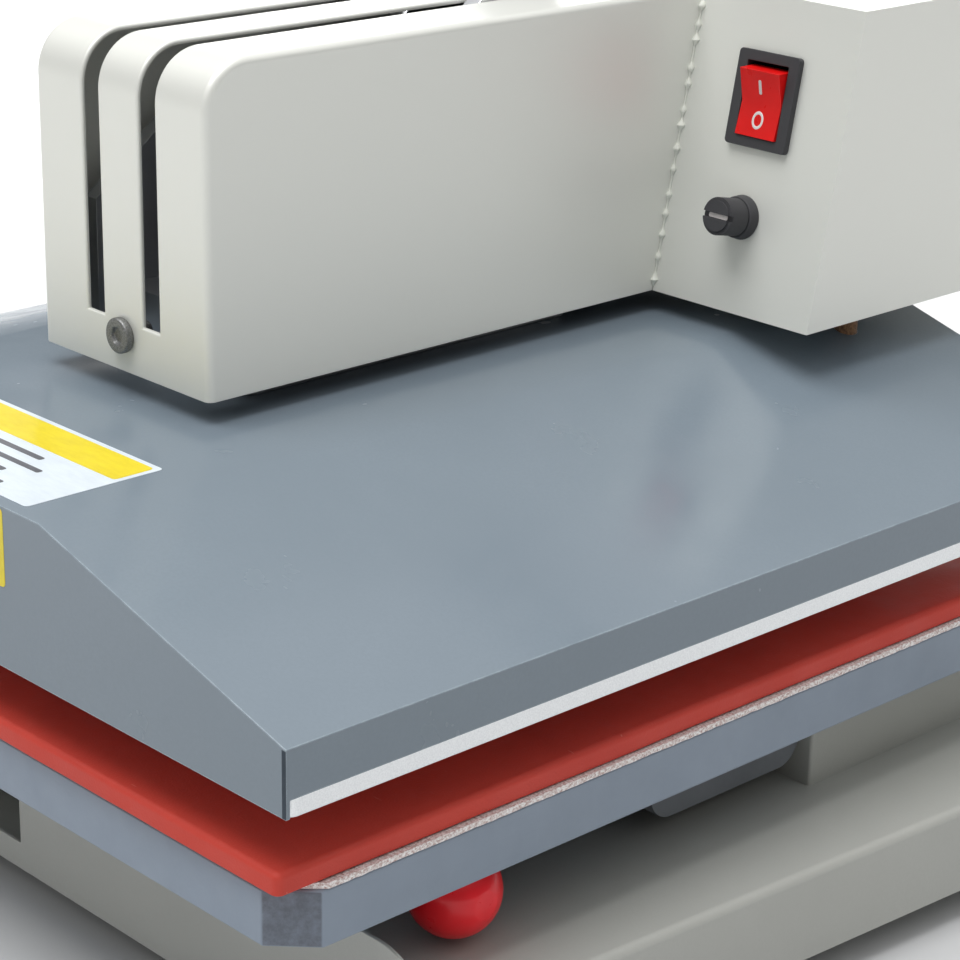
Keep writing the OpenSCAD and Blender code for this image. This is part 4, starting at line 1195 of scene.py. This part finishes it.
@dataclass
class Controls(SubAssembly):
    """Switch, fuse, controller and pressure knob."""

    looks: tuple[Look, ...] = (
        Look("switch_body", BLACK, 0.35),
        Look("rocker_switch", ROCKER_RED, 0.5, 3),
        Look("fuse_holder", BLACK, 0.4),
        Look("fuse_cap", BLACK, 0.4),
        Look("controller_bezel", BLACK, 0.5),
        Look("controller_window", GLASS, 0.3),
        Look("button_set", PALE, 0.2),
        Look("button_up", PALE, 0.2),
        Look("button_down", PALE, 0.2),
        Look("pressure_knob", BLACK, 1.0, 3),
    )
    panel_foot: Point = (0.0, 23.0, 185.0)
    panel_lean: float = 11.0
    switch_place: tuple[float, float] = (82.2, 75.5)
    fuse_place: tuple[float, float] = (80.6, 34.0)
    rocker_pivot: float = 5.0
    rocker_tip: float = 8.0
    rocker_rise: tuple[float, float] = (2.6, 11.7)
    mark_place: tuple[float, float] = (-8.72, 5.8)
    bar_half: Point = (0.6, 0.12, 2.6)
    ring_radius: float = 2.1
    ring_wire: float = 0.45
    ring_squash: Point = (1.0, 0.27, 1.25)
    corner: float = 0.5
    strip_half: tuple[float, float] = (4.2, 0.8)
    strip_face: tuple[float, float] = (-12.9, -12.35)
    meter_place: tuple[float, float] = (-44.0, 98.0)
    window_top: float = 300.25
    digit_rows: tuple[tuple[float, float], ...] = ((8.0, 5.0), (-8.0, 4.0))
    digit_pitch: float = 2.6
    bar_reach: tuple[float, float] = (1.08, 1.02)
    bar_length: float = 0.42
    bar_width: float = 0.45
    bar_sunk: float = 0.1
    bar_proud: float = 0.05
    bar_edge: float = 0.2

    def add_details(self) -> None:
        """Add the switch's marks, the painted highlight in the fuse's slot and the display's segments."""
        self.add_rocker_marks()
        self.add_fuse_slot_highlight()
        self.add_segments()

    def panel(self) -> Matrix:
        """Frame of the leaning panel, in metres: X across, Z up the slope, -Y out of it.

        Returns:
            The frame's matrix.
        """
        return Matrix.Translation([part * MM for part in self.panel_foot]) @ Matrix.Rotation(
            -math.radians(self.panel_lean), 4, "X")

    def add_rocker_marks(self) -> None:
        """Print the on and off marks on the two halves of the rocker."""
        across, up = self.switch_place
        pivot = Matrix.Translation((across * MM, self.rocker_pivot * MM, up * MM))
        rocker = self.panel() @ pivot @ Matrix.Rotation(math.radians(self.rocker_tip), 4, "X")
        slope = math.atan2(*self.rocker_rise)
        out, rise = self.mark_place
        for name, half in (("on", 1), ("off", -1)):
            if half > 0:
                piece = slab(tuple(-part for part in self.bar_half), self.bar_half)
                round_corners(piece, 1, self.corner)
            else:
                piece = self.ring()
            piece.matrix_world = rocker @ Matrix.Translation((0, out * MM, half * rise * MM)) @ Matrix.Rotation(
                half * slope, 4, "X")
            settle(piece, f"rocker_mark_{name}", MARK, Body.ROCKER)

    def ring(self) -> bpy.types.Object:
        """Make the flat oval ring of the off mark, upright about the world's middle.

        Returns:
            The ring, its size applied.
        """
        bpy.ops.mesh.primitive_torus_add(major_radius=self.ring_radius * MM, minor_radius=self.ring_wire * MM,
                                         major_segments=32, minor_segments=8, rotation=(math.pi / 2, 0, 0))
        piece = bpy.context.object
        bpy.ops.object.transform_apply(location=True, rotation=True, scale=True)
        piece.scale = self.ring_squash
        bpy.ops.object.transform_apply(location=True, rotation=True, scale=True)
        return piece

    def add_fuse_slot_highlight(self) -> None:
        """Lay a pale strip in the fuse cap's screwdriver slot: a painted highlight on the slot."""
        across, up = self.fuse_place
        (long, high), (front, back) = self.strip_half, self.strip_face
        piece = slab((-long, front, -high), (long, back, high))
        round_corners(piece, 1, self.corner)
        piece.matrix_world = self.panel() @ Matrix.Translation((across * MM, 0, up * MM))
        settle(piece, "fuse_slot_highlight", MARK, Body.FUSE)

    def add_segments(self) -> None:
        """Lay two rows of three unlit seven-segment digits, a hair proud of the window's face."""
        middle_x, middle_y = self.meter_place
        reach_x, reach_y = self.bar_reach
        bars = []
        for row, size in self.digit_rows:
            for digit in (-1, 0, 1):
                x, y = middle_x + digit * size * self.digit_pitch, middle_y + row
                for dx, dy, long_x in ((0, 1, True), (0, 0, True), (0, -1, True), (-0.5, 0.5, False),
                                       (0.5, 0.5, False), (-0.5, -0.5, False), (0.5, -0.5, False)):
                    half_x, half_y = size * self.bar_length, self.bar_width
                    if not long_x:
                        half_x, half_y = half_y, half_x
                    bar_x, bar_y = x + dx * size * reach_x, y + dy * size * reach_y
                    bars.append(slab((bar_x - half_x, bar_y - half_y, self.window_top - self.bar_sunk),
                                     (bar_x + half_x, bar_y + half_y, self.window_top + self.bar_proud)))
        piece = join(*bars)
        modify(piece, "BEVEL", width=self.bar_edge * MM, segments=1, limit_method="ANGLE")
        settle(piece, "display_segments", SEGMENT, Body.ARM)


# ---- Handle --------------------------------------------------------------


@dataclass
class Handle(SubAssembly):
    """Handle bars with their grip."""

    looks: tuple[Look, ...] = (
        Look("handle_bars", BRIGHT, 0.7),
        Look("handle_tube", BRIGHT, 0.5),
        Look("handle_grip", RUBBER, 1.5, 3),
    )


# ---- Head ----------------------------------------------------------------


@dataclass
class Head(SubAssembly):
    """Hood over the hot plate, with its labels."""

    looks: tuple[Look, ...] = (
        Look("hood", ENAMEL, 0.6, 3),
        Look("hot_plate", ALUMINIUM, 0.8, 3),
        Look("heating_element", DULL, 0),
        Look("insulation", WOOL, 0),
        Look("heater_lead", BRAID, 0.3),
    )
    gable_low: float = 125.3
    skirt_high: float = 145.4
    seam: float = 1.6
    proud: float = 0.05
    half_width: float = 192.0
    front: float = -270.0
    rear: float = 114.0
    label_half: float = 67.0
    label_front: float = -265.0
    label_rear: float = -215.0
    hood_top: float = 177.2
    sticker_half: float = 62.0
    sticker_low: float = 151.5
    sticker_high: float = 176.3
    film: float = 0.12
    ink: float = 1.6
    band_margin: float = 2.0
    band_depth: float = 15.0
    line_margin: float = 8.0
    line_end: tuple[float, float] = (22.0, 9.0)
    line_first: float = 5.0
    line_pitch: float = 7.0
    line_width: float = 2.4
    line_rows: int = 4
    label_corner: float = 1.5

    def add_details(self) -> None:
        """Paint shade into the corner seams and stick on the blank labels."""
        self.add_seams()
        self.add_top_label()
        self.add_front_sticker()

    def add_seams(self) -> None:
        """Lay a dark strip at each corner, where a gable's edge meets a side wall: painted shade of the open
        joint.
        """
        for side in (-1, 1):
            inner, outer = sorted((side * (self.half_width - self.seam), side * (self.half_width + self.proud)))
            for name, face in (("front", self.front), ("rear", self.rear)):
                near, far = sorted((face, face + math.copysign(self.proud, face)))
                piece = slab((inner, near, self.gable_low), (outer, far, self.skirt_high))
                settle(piece, f"hood_seam_shadow_{name}_{'left' if side < 0 else 'right'}", SEAM_SHADOW, Body.HEAD)

    def strip(self, name: str, low: Point, high: Point, finish: Finish) -> bpy.types.Object:
        """Lay one printed strip with softened corners.

        Args:
            name: Its name.
            low: Lowest corner in millimetres.
            high: Highest corner in millimetres.
            finish: Its print.

        Returns:
            The strip.
        """
        piece = slab(low, high)
        spans = [b - a for a, b in zip(low, high)]
        thin = spans.index(min(spans))
        narrow = min(span for axis, span in enumerate(spans) if axis != thin)
        round_corners(piece, thin, min(self.label_corner, narrow / 3))
        return settle(piece, name, finish, Body.HEAD)

    def add_top_label(self) -> None:
        """Lay the white label with its yellow band and plain grey lines on the hood's top."""
        half, front, rear, top, film = self.label_half, self.label_front, self.label_rear, self.hood_top, self.film
        self.strip("label_ground", (-half, front, top), (half, rear, top + film), WHITE_PRINT)
        printed = top + film * self.ink
        margin, (short, shorter) = self.band_margin, self.line_end
        self.strip("label_band", (-half + margin, rear - margin - self.band_depth, top + film),
                   (half - margin, rear - margin, printed), YELLOW_PRINT)
        for row in range(self.line_rows):
            y = front + self.line_first + row * self.line_pitch
            self.strip(f"label_line_{row}", (-half + self.line_margin, y, top + film),
                       (half - short - shorter * (row % 2), y + self.line_width, printed), GREY_PRINT)

    def add_front_sticker(self) -> None:
        """Lay the yellow sticker on the hood's front gable."""
        self.strip("front_sticker", (-self.sticker_half, self.front - self.film, self.sticker_low),
                   (self.sticker_half, self.front, self.sticker_high), YELLOW_PRINT)


# ---- Studio --------------------------------------------------------------


@dataclass(frozen=True)
class Lamp:
    """A square soft lamp, in metres and watts, aimed at a point."""

    name: str
    place: Point
    aim: Point
    size: float
    power: float

    def hang(self) -> None:
        """Hang the lamp."""
        bpy.ops.object.light_add(type="AREA", location=self.place)
        lamp = bpy.context.object
        lamp.name = self.name
        lamp.data.size = self.size
        lamp.data.energy = self.power
        lamp.rotation_euler = (Vector(self.aim) - Vector(self.place)).to_track_quat("-Z", "Y").to_euler()


@dataclass
class Studio:
    """Floor, soft light and camera."""

    eye: Point = (697.65, -681.09, 459.74)
    bearing: float = 46.5
    height_angle: float = 20.05
    roll: float = 1.05
    lens: float = 102.30
    sensor: float = 36.0
    sky_high: float = 1.0
    sky_level: float = 0.11
    sky_from: float = 0.3
    sky_to: float = 0.75
    floor_size: float = 80.0
    # The floor's painted shade is full within the first radius and fades out by the second, in metres.
    floor_shade_inner: float = 0.4
    floor_shade_outer: float = 0.95
    lamps: tuple[Lamp, ...] = (
        Lamp("key_lamp", (-0.15, -0.8, 3.05), (0.0, -0.1, 0.15), 2.2, 78.0),
        Lamp("rear_lamp", (-3.0, 3.2, 1.3), (-2.2, 2.4, 0.0), 1.8, 60.0),
    )

    def build(self) -> None:
        """Set out the floor, the lights and the camera."""
        self.add_floor()
        self.add_lights()
        self.add_camera()
        bpy.context.scene.view_settings.view_transform = "Standard"

    def add_floor(self) -> None:
        """Lay the pale floor, with painted shade round the press: a little darker near it than far away."""
        bpy.ops.mesh.primitive_plane_add(size=self.floor_size)
        floor = bpy.context.object
        floor.name = "studio_floor"
        desk = Desk("studio_floor_with_shade")
        reach = desk.tree.nodes.new("ShaderNodeVectorMath")
        reach.operation = "LENGTH"
        desk.wire(desk.place, reach.inputs[0])
        # Painted shade: the floor's colour darkens towards the press.
        far = desk.span(reach.outputs["Value"], self.floor_shade_inner, self.floor_shade_outer, 0.0, 1.0)
        desk.base(desk.ramp(far, (0.0, tone(204, 205, 206)), (1.0, tone(250, 250, 250))))
        desk.fixed(Roughness=0.9)
        floor.data.materials.append(desk.material)

    def add_lights(self) -> None:
        """Set the sky, which brightens with height, and hang the large soft lamps."""
        world = bpy.data.worlds.new("studio_sky")
        world.use_nodes = True
        tree = world.node_tree
        apart = tree.nodes.new("ShaderNodeSeparateXYZ")
        shade = tree.nodes.new("ShaderNodeMapRange")
        tree.links.new(tree.nodes.new("ShaderNodeTexCoord").outputs["Generated"], apart.inputs["Vector"])
        tree.links.new(apart.outputs["Z"], shade.inputs["Value"])
        shade.inputs["From Min"].default_value = self.sky_from
        shade.inputs["From Max"].default_value = self.sky_to
        shade.inputs["To Min"].default_value = self.sky_level
        shade.inputs["To Max"].default_value = self.sky_high
        tree.links.new(shade.outputs["Result"], tree.nodes["Background"].inputs["Strength"])
        tree.nodes["Background"].inputs["Color"].default_value = (1.0, 1.0, 1.0, 1.0)
        bpy.context.scene.world = world
        for lamp in self.lamps:
            lamp.hang()

    def add_camera(self) -> None:
        """Set the camera at the solved place."""
        bearing, rise, roll = (math.radians(part) for part in (self.bearing, self.height_angle, self.roll))
        back = Vector((math.sin(bearing) * math.cos(rise), -math.cos(bearing) * math.cos(rise), math.sin(rise)))
        level = Vector((math.cos(bearing), math.sin(bearing), 0.0))
        upright = back.cross(level)
        right = math.cos(roll) * level + math.sin(roll) * upright
        up = -math.sin(roll) * level + math.cos(roll) * upright
        bpy.ops.object.camera_add()
        camera = bpy.context.object
        camera.data.lens = self.lens
        camera.data.sensor_width = self.sensor
        turn = Matrix((right, up, back)).transposed()
        camera.matrix_world = Matrix.Translation([part * MM for part in self.eye]) @ turn.to_4x4()
        bpy.context.scene.camera = camera


def main() -> None:
    """Build the press piece by piece."""
    logging.basicConfig(level=logging.INFO, format="%(message)s")
    Studio().build()
    for group in (Base(), LowerPlate(), Latch(), Arm(), Housing(), Controls(), Handle(), Head()):
        group.build()
        LOG.info("%s: %d nodes finished", type(group).__name__, len(group.pieces))


if __name__ == "__main__":
    main()
